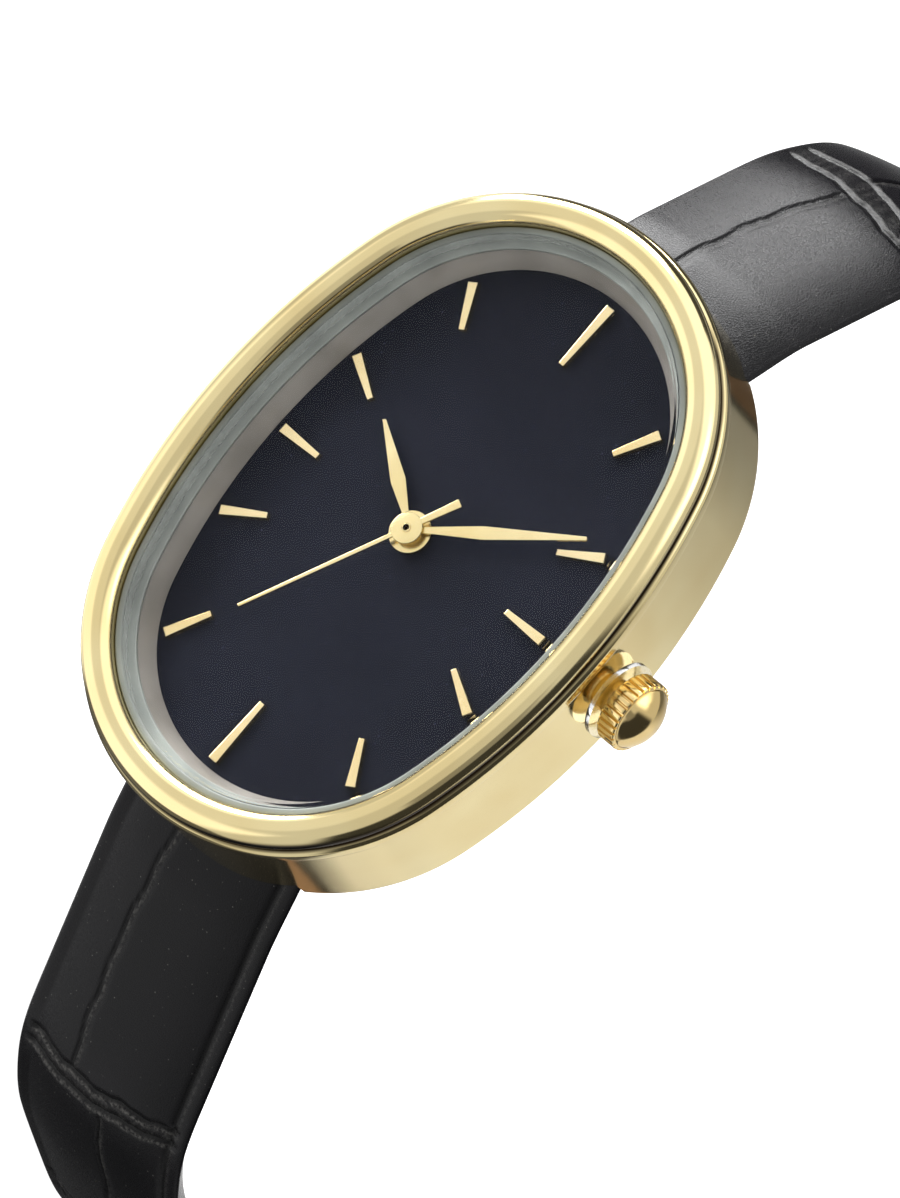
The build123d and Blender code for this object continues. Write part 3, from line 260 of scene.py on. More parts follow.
# The case's section carried round the oval. Its back opening is cut straight at twelve and six, and
# its wall and underside rise over the strap's ends.
def makeCaseBody():
    case = ovalCase
    foot, top, wall, flat = case["foot"], case["seat"], case["wallInset"], case["flatStart"]
    shoulder, back, bore = top - case["shoulderDrop"], case["backInset"], case["boreInset"]
    corners = [(wall, foot), (wall, shoulder), (0, shoulder), (0, top),
               (case["rebateInset"], top), (case["rebateInset"], case["glassShelf"]),
               (case["pocketInset"], case["glassShelf"]), (case["pocketInset"], case["dialSeat"]),
               (bore, case["dialSeat"]), (bore, case["backFloor"]), (back, case["backFloor"]), (back, foot)]
    loop = roundedLoop(corners, case["rounds"], case["turnSteps"])
    under = np.stack([np.linspace(back - 0.06, wall + flat, case["underRows"]),
                      np.full(case["underRows"], foot)], -1)
    side = np.stack([np.full(case["wallRows"], wall),
                     np.linspace(foot + 0.6, shoulder - 0.2, case["wallRows"])], -1)
    loop = np.vstack([loop[:case["turnSteps"]], side, loop[case["turnSteps"]:], under])
    inset, height = loop[None, :, 0], loop[None, :, 1]
    x, y = ovalAt(ringAngles[:, None], inset)
    z = np.broadcast_to(height, x.shape)
    inner = np.clip((inset - wall - flat) / (back - wall - flat), 0, 1)
    inBore = inset >= bore - 0.01
    straight = np.where(inBore, case["boreHalfLength"], case["backHalfLength"])
    deep = (height < 1.0) & (inset > wall + 0.4) | inBore
    xEdge, yEdge = ovalAt(ringAngles[:, None], wall + flat)
    xBack, yBack = ovalAt(ringAngles[:, None], back)
    yBack = np.clip(yBack, -case["backHalfLength"], case["backHalfLength"])
    onUnder = (height < foot + 0.001) & (inner > 0)
    x = np.where(onUnder, xEdge + (xBack - xEdge) * inner, x)
    y = np.where(onUnder, yEdge + (yBack - yEdge) * inner,
                 np.where(deep, np.clip(y, -straight, straight), y))
    footLine = np.maximum(foot, pocketCeiling(*ovalAt(ringAngles[:, None], wall)))
    outside = (inset < wall + flat + 0.01) & (height < shoulder)
    z = np.where(outside, footLine + (z - foot) * (shoulder - footLine) / (shoulder - foot), z)
    z = np.where(onUnder, np.maximum(foot, pocketCeiling(x, y)), z)
    # Painted shade and reflection on the shoulder's top edge along the seam
    ledgeShade = (height > top - 0.2) * softStep(inset, 0.07, 0.2) * seamShade
    newPiece("caseBody", "case_body", np.stack([x, y, z], -1),
             gridFaces(len(ringAngles), len(loop), True, True), weighted=True, sharpAngle=50,
             marks={"sunkShade": ledgeShade.ravel()})


# The bezel's, the glass seal's and the rehaut's insets from the case's outline, and their rounds
bezelPlan = {"outer": 0.2, "inner": 1.95, "step": 0.87, "rounds": (0.18, 0.86, 0.72, 0.05, 0, 0),
             "turnSteps": 17, "gap": 0.01}
sealPlan = {"outer": 1.97, "lip": 2.35, "inner": 2.85, "sunkBelow": 0.15, "gap": 0.01,
            "rounds": (0, 0.1, 0.1, 0.05, 0.08, 0)}
rehautPlan = {"outer": 2.02, "top": 2.85, "foot": 3.5, "rounds": (0, 0, 0.06, 0.04)}


# Corners of a profile that steps in at its foot or its top: an outer side, a step and an inner side
def stepped(outer, middle, inner, foot, level, top):
    return [(outer, foot), (outer, top), (middle, top), (middle, level), (inner, level), (inner, foot)]


# A softly crowned ring; its foot is painted dark where the seam climbs it, as painted shade and reflection
def makeBezel():
    plan, gap = bezelPlan, bezelPlan["gap"]
    top, seat, shelf = boxOf("bezel")[1][2], ovalCase["seat"] + gap, ovalCase["glassShelf"] + 2 * gap
    corners = stepped(plan["outer"], plan["inner"], plan["step"], seat, shelf, top)
    loop = roundedLoop(corners, plan["rounds"], plan["turnSteps"])
    inset, height = loop[None, :, 0], loop[None, :, 1]
    # Painted shade and reflection on the bezel's outer foot along the seam
    sunkShade = (inset < 1.0) * seamShade * (
        1 - softStep(height, seat + 0.15 + seamWidth, seat + 0.27 + 1.4 * seamWidth))
    ovalRing("bezelRing", "bezel", loop, weighted=True, sharpAngle=60, marks={"sunkShade": sunkShade.ravel()})


# Rounded steps between bezel and glass
def makeGlassSeal():
    plan = sealPlan
    corners = stepped(plan["outer"], plan["lip"], plan["inner"], boxOf("crystal_gasket")[0][2],
                      crystalLow[2] - plan["gap"], crystalHigh[2] - plan["sunkBelow"])
    ovalRing("glassSeal", "crystal_gasket", roundedLoop(corners, plan["rounds"], 5))


# The ring between dial and glass, whose inner side slopes down to the dial
def makeRehaut():
    plan, low, high = rehautPlan, *(corner[2] for corner in boxOf("rehaut_ring"))
    corners = [(plan["outer"], low), (plan["outer"], high), (plan["top"], high), (plan["foot"], low)]
    ovalRing("rehautSlope", "rehaut_ring", roundedLoop(corners, plan["rounds"], 4), weighted=True)


# Runs and arcs of a line, blurred along its length so that its bend changes gently
def smoothRoute(points, bends, blur=1.0, step=0.05):
    points = np.array(points, float)
    line = np.vstack([points[:1]] + [
        cornerArc(corner, before, after, bend * strapPlan["bend"], 40)
        for corner, before, after, bend in zip(points[1:-1], points[:-2], points[2:], bends)] + [points[-1:]])
    travelled = distanceAlong(line)
    margin = 4 * blur
    s = np.arange(-margin, travelled[-1] + margin, step)
    along = lineAt(s, travelled, line)
    before, after = s < 0, s > travelled[-1]
    along[before] = line[0] + s[before, None] * unit(line[1] - line[0])
    along[after] = line[-1] + (s[after, None] - travelled[-1]) * unit(line[-1] - line[-2])
    weights = np.exp(-0.5 * (np.arange(-margin, margin + step / 2, step) / blur) ** 2)
    weights /= weights.sum()
    blurred = np.stack([np.convolve(along[:, k], weights, "same") for k in (0, 1)], -1)
    inside = (s >= 0) & (s <= travelled[-1])
    return s[inside], blurred[inside]


# A bell of a given half width round a line, used for grooves and lips
def ridge(distance, half):
    return np.exp(-(distance / half) ** 2)


# Marks the cells of a band that lie in a hole, and moves the points beside them onto its edge. Each
# hole is a rounded slot: its middle along the band, its core's two half sizes and its radius.
def cutHoles(run, off, holes):
    cellS, cellX = ((v[:-1, :-1] + v[1:, :-1] + v[:-1, 1:] + v[1:, 1:]) / 4 for v in (run, off))
    gone = np.zeros(cellS.shape, bool)
    for middle, coreS, coreX, radius in holes:
        def beyond(a, b):
            nearS, nearX = np.clip(a - middle, -coreS, coreS), np.clip(b, -coreX, coreX)
            return nearS, nearX, a - middle - nearS, b - nearX
        dS, dX = beyond(cellS, cellX)[2:]
        out = np.hypot(dS, dX) < radius
        gone |= out
        touched = np.zeros(run.shape, int)
        for di in (0, 1):
            for dj in (0, 1):
                touched[di:di + out.shape[0], dj:dj + out.shape[1]] += out
        nearS, nearX, dS, dX = beyond(run, off)
        far = np.maximum(np.hypot(dS, dX), 1e-6)
        edge = (touched > 0) & (touched < 4) & (far > 0.02)
        run = np.where(edge, middle + nearS + dS / far * radius, run)
        off = np.where(edge, nearX + dX / far * radius, off)
    return run, off, gone


# Quads of a band's top, underside, ends and hole walls; both sides share their outermost points
def bandFaces(gone):
    rows, columns = gone.shape[0] + 1, gone.shape[1] + 1
    index = np.arange(rows * columns).reshape(rows, columns)
    under = index + rows * columns
    under[:, 0], under[:, -1] = index[:, 0], index[:, -1]

    def cellCorners(grid):
        return grid[:-1, :-1], grid[1:, :-1], grid[1:, 1:], grid[:-1, 1:]

    def quads(a, b, c, d, keep):
        return np.stack([a[keep], b[keep], c[keep], d[keep]], -1).reshape(-1, 4)

    top, low, kept = cellCorners(index), cellCorners(under), ~gone
    faces = [quads(*top, kept), quads(low[0], low[3], low[2], low[1], kept)]
    padded = np.pad(gone, 1, mode="edge")                   # a hole that meets the end stays open there
    for k, beside in enumerate((padded[1:-1, :-2], padded[2:, 1:-1], padded[1:-1, 2:], padded[:-2, 1:-1])):
        after = (k + 1) % 4
        faces.append(quads(top[k], top[after], low[after], low[k], gone & ~beside))
    for end, a, b in ((0, 0, 3), (-1, 2, 1)):
        faces.append(quads(top[a][end], top[b][end], low[b][end], low[a][end], kept[end]))
    return np.vstack(faces)


# A band along a route: topAt and bottomAt give its faces as heights over the route, noses round off
# its ends, and swell lifts it near the case
def strapBand(name, node, route, outward, stretch, topAt, bottomAt, widthAt, holes, noses, swell):
    s, line = route
    tangent = unit(np.gradient(line, axis=0))
    change, columns = strapCut["fineUntil"], acrossColumns()
    lengths = np.concatenate([
        np.arange(stretch[0], change, strapCut["fineStep"]),
        np.linspace(change, stretch[1], int((stretch[1] - change) / strapCut["rowStep"]))])
    noseSteps = np.sin(np.linspace(0, np.pi / 2, 9)[1:]) * 0.995
    start = lengths[0] - noseSteps[::-1] * noses[0] if noses[0] else np.empty(0)
    end = lengths[-1] + noseSteps * noses[1] if noses[1] else np.empty(0)
    run = np.concatenate([start, lengths, end])[:, None] * np.ones(len(columns))[None, :]
    run, off, gone = cutHoles(run, widthAt(run[:, :1], s, line) * columns[None, :], holes)
    wide = widthAt(run, s, line)
    past = (np.maximum(stretch[0] - run, 0) / max(noses[0], 1e-6)
            + np.maximum(run - stretch[1], 0) / max(noses[1], 1e-6))
    thin = np.sqrt(np.maximum(1 - past ** 2, 0.0004))
    place = lineAt(run, s, line)
    place += np.minimum(run - s[0], 0)[..., None] * tangent[0]
    place += np.maximum(run - s[-1], 0)[..., None] * tangent[-1]
    normal = quarterTurn(lineAt(run, s, tangent)) * outward
    top, wear, sunkShade = topAt(run, off, wide)
    lift = swell * softStep(run, *strapCut["swellFrom"]) * (1 - softStep(run, *strapCut["swellTo"]))
    layers = []
    for height in (top, bottomAt(run, off, wide)):
        p = place + normal * (height * thin + lift)[..., None]
        layers.append(np.stack([off, p[..., 0], p[..., 1]], -1).reshape(-1, 3))
    used, faces = np.unique(bandFaces(gone), return_inverse=True)
    faces = faces.reshape(-1, 4)
    uv = np.tile(np.stack([run, off], -1).reshape(-1, 2), (2, 1)) * mm
    doubled = (faces == np.roll(faces, 1, 1)).sum(1)
    triangles = [list(dict.fromkeys(face)) for face in faces[doubled == 1].tolist()]
    marks = {label: np.concatenate([mask.ravel(), np.zeros(run.size)])[used]
             for label, mask in (("wear", wear), ("sunkShade", sunkShade))}
    return newPiece(name, node, np.vstack(layers)[used], faces[doubled == 0].tolist() + triangles,
                    uv=uv[used], marks=marks)


# The strap's surface: spacing of its points, its pad near and far from the case, the groove along
# its edges, its folds and creases, and its turned-in edge
strapCut = {
    "rowStep": 0.35, "fineStep": 0.1, "fineUntil": 21.0, "columns": 82, "edgeRound": 0.5,
    "padFoot": 0.86, "padRise": 0.62, "flatFoot": 0.9, "flatRise": 0.15, "flatFrom": 24.0, "flatAt": 46.0,
    "grooveAt": 1.0, "grooveDepth": 0.12, "grooveWidth": 0.16, "farGroove": 0.1,
    "foldDepth": 0.16, "foldWidth": 0.15, "foldLip": 0.22, "lipWidth": 0.08,
    "creaseDepth": 0.16, "turnedIn": 1.6, "middle": 0.65, "slim": 0.1, "slimAtBuckle": 0.08,
    "swellFrom": (0.5, 6), "swellTo": (22, 38), "shortSwell": 0.7, "longSwell": 0.4, "padFill": 0.9,
}
# Its openings: five holes below the case, and the notch for the tongue as how far past the end its
# middle lies, its core's two half sizes and its radius
strapHoles = {"first": 32, "spacing": 6, "count": 5, "radius": 0.85, "notch": (1.6, 3.7, 1.1, 0.2)}


# Columns across a band: close together at its rounded edges, even between
def acrossColumns():
    half = strapPlan["width"] / 2
    edge = 1 - (1 - np.cos(np.linspace(0, np.pi / 2, 7))) * strapCut["edgeRound"] / half
    inner = np.linspace(-edge[-1], edge[-1], strapCut["columns"])
    turned = 1 - strapCut["turnedIn"] / half + np.array([-0.004, 0.004])
    return np.unique(np.round(np.concatenate([-edge, inner, edge, turned, -turned]), 5))


# A quarter round over the distance from the strap's edge
def edgeShape(distance):
    share = np.clip(distance / strapCut["edgeRound"], 0, 1)
    return np.sqrt(np.maximum(1 - (1 - share) ** 2, 0))


# A fold across the strap: two sunken lines painted dark as painted shade, with worn lips, and a pleated strip
# between them.
# Each line is given by its lengths at places across the strap.
def acrossFold(across, firstLine, secondLine, worn, phase=0.0):
    def fold(run, off):
        wander = 0.08 * np.sin(off * 2.1 + phase) + 0.03 * np.sin(off * 5.3 + 2 * phase)
        first = run - np.interp(off, across, firstLine) - wander
        second = run - np.interp(off, across, secondLine) - wander * 0.6
        between = softStep(first, -0.1, 0.2) * (1 - softStep(second, -0.2, 0.1))
        pleats = 0.5 + 0.5 * np.sin(off * 8.0 + 2.5 * np.sin(off * 1.7 + phase) + first)
        lines, lips = (np.maximum(ridge(first - past, wide), ridge(second - past, wide)) for past, wide in (
            (0, strapCut["foldWidth"]), (strapCut["foldLip"], strapCut["lipWidth"])))
        dip = strapCut["foldDepth"] * lines + between * (0.02 + 0.02 * pleats)
        return dip, worn * np.maximum(lips, between * (0.05 + 0.25 * pleats)), lines * 0.8
    return fold


# A crease along the strap, through places across it at given lengths, painted dark along its line as painted
# shade, with a pale lip on one side
def alongCrease(lengths, places, worn, phase=0.0):
    def crease(run, off):
        line = off - np.interp(run, lengths, places) - 0.07 * np.sin(run * 1.9 + phase)
        fade = softStep(run, lengths[0] - 0.5, lengths[0] + 0.3) * (
            1 - softStep(run, lengths[-1] - 0.3, lengths[-1] + 0.3))
        sunkShade = ridge(line, 0.08) * fade
        return (strapCut["creaseDepth"] * sunkShade + 0.05 * ridge(line - 0.32, 0.12) * fade,
                worn * ridge(line - 0.2, 0.11) * fade, sunkShade)
    return crease


# Top of the upper: a rounded edge and a pad that rises steeply and flattens in the middle, and that
# thins out towards the holes and the buckle. With a welt it also has a groove along each edge,
# faint on its far side. Folds and creases sink in, and their marks come out with the height.
def upperTop(folds, welt):
    def height(run, off, wide):
        cut = strapCut
        margin = wide - np.abs(off)
        flat = softStep(run, cut["flatFrom"], cut["flatAt"])
        foot = cut["padFoot"] + (cut["flatFoot"] - cut["padFoot"]) * flat
        rise = cut["padRise"] + (cut["flatRise"] - cut["padRise"]) * flat
        padHalf = np.maximum(wide - cut["grooveAt"] * (0.35 + 0.65 * welt), 0.1)
        pad = foot + rise * (1 - np.clip(np.abs(off) / padHalf, 0, 1) ** 2.5)
        near = welt * (cut["farGroove"] + (1 - cut["farGroove"]) * softStep(off, -1, 1))
        groove = near * ridge(margin - cut["grooveAt"], cut["grooveWidth"])
        # The groove's, folds' and creases' dark marks are painted shade
        dip, sunkShade = np.zeros(run.shape), 0.8 * groove
        wear = 0.45 * near * ridge(margin - cut["grooveAt"] + 0.25, 0.13)
        for fold in folds:
            dip, wear, sunkShade = (np.maximum(*pair) for pair in zip((dip, wear, sunkShade), fold(run, off)))
        inside = np.clip((margin - 0.4) / 0.6, 0, 1)
        full = pad - cut["grooveDepth"] * groove - dip * inside
        shaped = cut["middle"] + (full - cut["middle"]) * edgeShape(margin)
        return shaped, wear * inside, sunkShade * inside
    return height


# Underside of the upper: it slopes in from the thin edges, and is hollow in between for the lining
def upperBottom(run, off, wide):
    margin = wide - np.abs(off)
    left = 1 - np.clip(margin / strapCut["turnedIn"], 0, 1)
    wrapped = (strapCut["middle"] + strapPlan["thickness"] / 2) * left ** 1.3 - strapPlan["thickness"] / 2
    hollow = -strapPlan["thickness"] / 2 + strapPlan["lining"] + 0.01
    return np.where(margin > strapCut["turnedIn"], hollow, wrapped)


# The lining's flat top, and its underside, which curls up at the edges
def liningTop(run, off, wide):
    level = np.full(run.shape, -strapPlan["thickness"] / 2 + strapPlan["lining"] - 0.01)
    return level, np.zeros(run.shape), np.zeros(run.shape)


def liningBottom(run, off, wide):
    margin = wide - np.abs(off)
    return -strapPlan["thickness"] / 2 + 0.05 + 0.2 * np.exp(-margin / 0.12)


# Half width of the strap: full below the case, narrowing evenly to the buckle's width; a tip gives
# the length at which it ends in a half round
def upperWidth(tip=None):
    def width(run, s, line):
        up, plan = np.interp(run, s, line[:, 1]), strapPlan
        share = np.clip((plan["taperStart"] - up) / (plan["taperStart"] - plan["taperEnd"]), 0, 1)
        half = (plan["width"] + (plan["buckleWidth"] - plan["width"]) * share) / 2
        half = half - strapCut["slim"] + (strapCut["slim"] - strapCut["slimAtBuckle"]) * share
        if tip:
            left = np.clip(tip - run, 0.03, half)
            half = np.sqrt(np.maximum(half ** 2 - (half - left) ** 2, 0.02))
        return half
    return width


# Folds and creases past those in the photograph: more of the same, down to each end
def strapFolds(first, spacing, last, lean):
    folds = []
    for number, at in enumerate(np.arange(first, last, spacing)):
        bow, phase = 0.35 * np.sin(number * 2.1 + lean), number + lean
        folds.append(acrossFold((-6, -1.5, 1, 6), (at - bow, at, at + bow, at - 0.4 * bow),
                                (at + 1.1 - bow, at + 1.5, at + 1.4 + bow, at + 0.9), 0.6, phase))
        middle = 0.9 * np.sin(number * 2.7 + lean)
        folds.append(alongCrease((at + 1.6, at + 5, at + spacing - 0.2),
                                 (middle, middle + 0.4, -0.8 * middle), 0.4, phase))
    return folds


# One side of the strap: its padded upper, and its lining cut short of it at both ends; tops, ends
# and widths are those of its surfaces, and noses and swell those of strapBand
def makeStrapSide(side, line, outward, tops, ends, widths, holes, liningHoles, noses, swell):
    upper = strapBand(side + "StrapLeather", side + "_strap", line, outward, (0, ends[0]), tops,
                      upperBottom, widths[0], holes, noses, swell)
    strapBand(side + "StrapLining", side + "_strap_lining", line, outward, (1.5, ends[1]), liningTop,
              liningBottom, lambda *at: np.maximum(widths[1](*at) - strapCut["turnedIn"] - 0.03, 0.1),
              liningHoles, (0, 0), swell)


# Both sides, with the photograph's folds and creases nearest the case
def makeStraps():
    shortLine = smoothRoute(shortRoute, shortBends)
    longLine = smoothRoute(longRoute, longBends)
    shortEnd, longEnd = shortLine[0][-1], longLine[0][-1]
    shortFolds = [
        acrossFold((-6, -1.5, 0.5, 3.1, 6), (15.6, 15.6, 15.3, 14.9, 14.5), (16.9, 17.5, 16.9, 16.2, 15.8),
                   0.6, 0.4),
        alongCrease((0, 5.2, 10.2, 15.2), (-2.2, -1.9, -1.8, -1.1), 0.15, 0.3),
        alongCrease((17.2, 21, 27.2), (-1.6, -0.6, 0.4), 0.4, 1.2),
    ] + strapFolds(27.4, 11.6, 60, 0.6)
    longFolds = [
        acrossFold((-6, -0.7, 6), (17.9, 18.2, 17.5), (18.7, 19.0, 18.2), 1.0, 1.1),
        alongCrease((0, 4.3, 9.9, 14.8, 18.0), (-1.5, -1.7, -2.1, -2.0, -1.8), 0.5, 0.9),
        alongCrease((19.4, 24, 30.3), (0.6, 1.3, 0.2), 0.4, 2.0),
    ] + strapFolds(30.5, 11.9, 90, 2.0)
    past, *slot = strapHoles["notch"]
    makeStrapSide("short", shortLine, 1, upperTop(shortFolds, 0.0), (shortEnd, shortEnd - 2.0),
                  (upperWidth(), upperWidth()), [(shortEnd + past, *slot)], [], (1.3, 1.25),
                  strapCut["shortSwell"])
    hanging = longLine[1][:, 1] > strapPlan["tailLevel"] + 4
    down, length = -longLine[1][hanging][:, 1], longLine[0][hanging]
    holes = [(np.interp(strapHoles["first"] + strapHoles["spacing"] * number, down, length), 0.0, 0.0,
              strapHoles["radius"]) for number in range(strapHoles["count"])]
    makeStrapSide("long", longLine, -1, upperTop(longFolds, 1.0), (longEnd - 0.03, longEnd - 1.2),
                  (upperWidth(longEnd), upperWidth(longEnd - 0.5)), holes, holes, (1.3, 0),
                  strapCut["longSwell"])


# The keepers: their walls, and the crown and grooves of their outer side
keeperPlan = {
    "fixedWall": 0.9, "freeWall": 0.7, "corner": 1.4, "rounds": (0.3, 0.3, 0.15, 0.15), "steps": 160,
    "crown": 0.12, "grooveDepth": 0.07, "grooveAt": 0.7, "grooveWidth": 0.14,
}


# A leather loop: a crowned band with a groove along each edge, carried round a rounded rectangle
def makeKeeper(name, node, wall):
    plan, (low, high) = keeperPlan, boxOf(node)
    path = roundedLoop(rectangle(low[0], low[1], high[0], high[1]), [wall * plan["corner"]] * 4, 12)
    path = np.vstack([path, path[:1]])
    travelled = distanceAlong(path)
    steps = np.linspace(0, travelled[-1], plan["steps"], endpoint=False)
    path = lineAt(steps, travelled, path)
    inward = quarterTurn(unit(np.roll(path, -1, 0) - np.roll(path, 1, 0)))
    half = (high[2] - low[2]) / 2
    section = roundedLoop(rectangle(-half, 0, half, wall), plan["rounds"], 6)
    outer = section[:, 1] < wall / 2
    crown = plan["crown"] * (1 - (section[:, 0] / half) ** 2) * outer
    inside = half - np.abs(section[:, 0]) - plan["grooveAt"]
    groove = plan["grooveDepth"] * ridge(inside, plan["grooveWidth"]) * outer
    depth = np.minimum(section[:, 1] + groove + plan["crown"] - crown, wall)
    points = path[:, None, :] + inward[:, None, :] * depth[None, :, None]
    up = (low[2] + high[2]) / 2 + np.broadcast_to(section[None, :, 0], points.shape[:2])
    uv = np.stack(np.broadcast_arrays(steps[:, None], section[None, :, 0]), -1) * mm
    newPiece(name, node, np.concatenate([points, up[..., None]], -1),
             gridFaces(len(path), len(section), True, True), uv=uv)


# Moves the corners of an outline inwards, along both sides at once
def insetOutline(corners, inset):
    normals = quarterTurn(unit(np.roll(corners, -1, 0) - corners))
    before = np.roll(normals, 1, 0)
    return corners + inset * (before + normals) / (1 + (before * normals).sum(1))[:, None]


# A slab from an outline that runs anticlockwise: each level is (inset, height), both ends closed
def slab(corners, levels, corner=0.0):
    corners = np.array(corners, float)
    rows = []
    for inset, height in levels:
        loop = insetOutline(corners, inset)
        if corner:
            loop = roundedLoop(loop, [corner] * len(corners), 4)
        rows.append(np.column_stack([loop, np.full(len(loop), height)]))
    return np.vstack(rows), tubeFaces(len(rows), len(rows[0]))


# A profile of (radius, height) turned round an axis; both ends get a face unless it is a loop
def turnedRound(profile, count, closed=False, cut=None):
    profile = np.array(profile, float)
    angles = np.linspace(0, 2 * np.pi, count, endpoint=False)
    radius = np.broadcast_to(profile[:, :1], (len(profile), count))
    if cut is not None:
        radius = cut(radius, angles)
    points = np.stack([radius * np.cos(angles), radius * np.sin(angles),
                       np.broadcast_to(profile[:, 1:], radius.shape)], -1).reshape(-1, 3)
    faces = gridFaces(len(profile), count, True, True) if closed else tubeFaces(len(profile), count)
    return points, faces


# Closed shells put together in one mesh, each with its faces turned outwards first
def joinShells(shells):
    points, faces, start = [], [], 0
    for p, f in shells:
        if signedVolume(p, f) < 0:
            f = [face[::-1] for face in f]
        points.append(p)
        faces += [[i + start for i in face] for face in f]
        start += len(p)
    return np.vstack(points), faces


# Turns points clockwise, seen from the front, and lifts them
def atAngle(points, degrees, lift):
    a = np.radians(degrees)
    x, y = points[:, 0], points[:, 1]
    return np.stack([x * np.cos(a) + y * np.sin(a), y * np.cos(a) - x * np.sin(a), points[:, 2] + lift], -1)


# The hands: thickness of their blades, and their levels over the body's foot and angles clockwise
# from twelve, for hours, minutes and seconds
handPlan = {
    "thickness": 0.14, "tip": 0.2, "root": 0.3, "bevel": 0.035, "clearBore": 0.12,
    "level": (5.676, 6.036, 6.396), "angle": (304.0, 55.8, 206.7),
    "hour": {"length": 6.33, "width": 0.82, "widest": 0.46, "boss": 1.14, "height": 0.3, "bore": 0.66},
    "minute": {"length": 9.52, "width": 0.74, "widest": 0.42, "boss": 0.62, "height": 0.3, "bore": 0.42},
    "seconds": {"length": 9.4, "root": 0.24, "tip": 0.16, "tail": 3.0, "tailWidth": 0.46, "boss": 0.84,
                "height": 0.16, "rivet": 0.24, "rivetHeight": 0.05},
}


# Corners of a bar that tapers from its root to its tip
def taper(root, tip, start, end):
    return [(-root / 2, start), (root / 2, start), (tip / 2, end), (-tip / 2, end)]


# A lozenge blade with softened upper edges on a round boss
def makeLeafHand(name, node, plan, number):
    top, bevel, wide = plan["height"], handPlan["bevel"], plan["width"] / 2
    corners = taper(handPlan["root"], handPlan["tip"], plan["bore"] + handPlan["clearBore"], plan["length"])
    middle = plan["length"] * plan["widest"]
    blade = slab(corners[:2] + [(wide, middle)] + corners[2:] + [(-wide, middle)],
                 [(0, top - handPlan["thickness"]), (0, top - bevel),
                  (bevel * 0.35, top - bevel * 0.25), (bevel, top)], 0.03)
    ring = roundedLoop(rectangle(plan["bore"], 0, plan["boss"], top), [0, 0.05, 0.05, 0], 5)
    points, faces = joinShells([blade, turnedRound(ring, 96, True)])
    newPiece(name, node, atAngle(points, handPlan["angle"][number], handPlan["level"][number]), faces,
             sharpAngle=35)


# A tapered needle and tail on a boss, which has a bored rivet in its middle
def makeSecondsHand():
    plan, thin = handPlan["seconds"], handPlan["thickness"]
    levels = [(0, 0), (0, thin - 0.03), (0.012, thin - 0.008), (0.035, thin)]
    needle = slab(taper(plan["root"], plan["tip"], 0.3, plan["length"]), levels, 0.02)
    tail = slab(taper(plan["tailWidth"], plan["tailWidth"] / 1.5, -plan["tail"], -0.3), levels, 0.03)
    top, rivet = plan["height"], plan["rivet"]
    rivetTop = top + plan["rivetHeight"]
    profile = roundedLoop([(0.14, 0), (plan["boss"], 0), (plan["boss"], top), (rivet + 0.02, top),
                           (rivet + 0.02, top - 0.03), (rivet, top - 0.03), (rivet, rivetTop),
                           (0.16, rivetTop), (0.14, top - 0.06), (0.02, top - 0.06), (0.02, 0.08),
                           (0.14, 0.08)], [0, 0.06, 0.05, 0, 0, 0, 0.03, 0.02, 0, 0, 0, 0], 4)
    points, faces = joinShells([needle, tail, turnedRound(profile, 96, True)])
    # Painted shade: the recessed bore in the rivet's middle is marked dark
    deep = 1 - softStep(np.hypot(points[:, 0], points[:, 1]), 0.15, 0.19)
    newPiece("secondsHand", "seconds_hand", atAngle(points, handPlan["angle"][2], handPlan["level"][2]),
             faces, sharpAngle=35, marks={"sunkShade": deep})


# Hour markers: height, widths at both ends, the two lengths, lean, bevel and place
markerPlan = {"height": 0.34, "outer": 0.6, "inner": 0.37, "long": 3.86, "short": 2.64, "slope": 0.035,
              "bevel": 0.05, "inset": 3.85, "lift": dialHigh[2] + 0.01}


# Distance from the middle to the oval drawn in by an inset, clockwise from twelve in degrees
def ovalReach(inset, degrees):
    facing = np.linspace(0, 2 * np.pi, 20001)
    x, y = ovalAt(facing, inset)
    wanted = np.radians(degrees)
    nearest = np.argmin(np.abs((np.arctan2(x, y) - wanted + np.pi) % (2 * np.pi) - np.pi))
    return np.hypot(x[nearest], y[nearest])


# Markers are tapered bars whose four sides lean in, with their outer ends along the oval
def makeMarkers(name, node, length, angles):
    plan, shells = markerPlan, []
    top, slope, bevel = plan["height"], plan["slope"], plan["bevel"]
    levels = [(0, 0), (slope - 0.012, top - bevel * 0.9), (slope + 0.006, top - bevel * 0.25),
              (slope + bevel * 0.8, top)]
    for angle in angles:
        end = ovalReach(plan["inset"], angle)
        points, faces = slab(taper(plan["inner"], plan["outer"], end - length, end), levels, 0.02)
        shells.append((atAngle(points, angle, plan["lift"]), faces))
    points, faces = joinShells(shells)
    newPiece(name, node, points, faces, sharpAngle=25)


# The crown, along its own axis from the back of its cup, and the axis's place
crownPlan = {
    "axisY": 0.34, "axisUp": 3.26, "back": 14.0, "radius": 2.0, "length": 1.2, "ribs": 30, "ribDepth": 0.17,
    "domeRadius": 1.8, "domeHeight": 0.87, "bore": 1.16, "sealRadius": 1.45, "sealStart": 0.12,
    "sealWidth": 0.34, "pointsPerRib": 14,
}


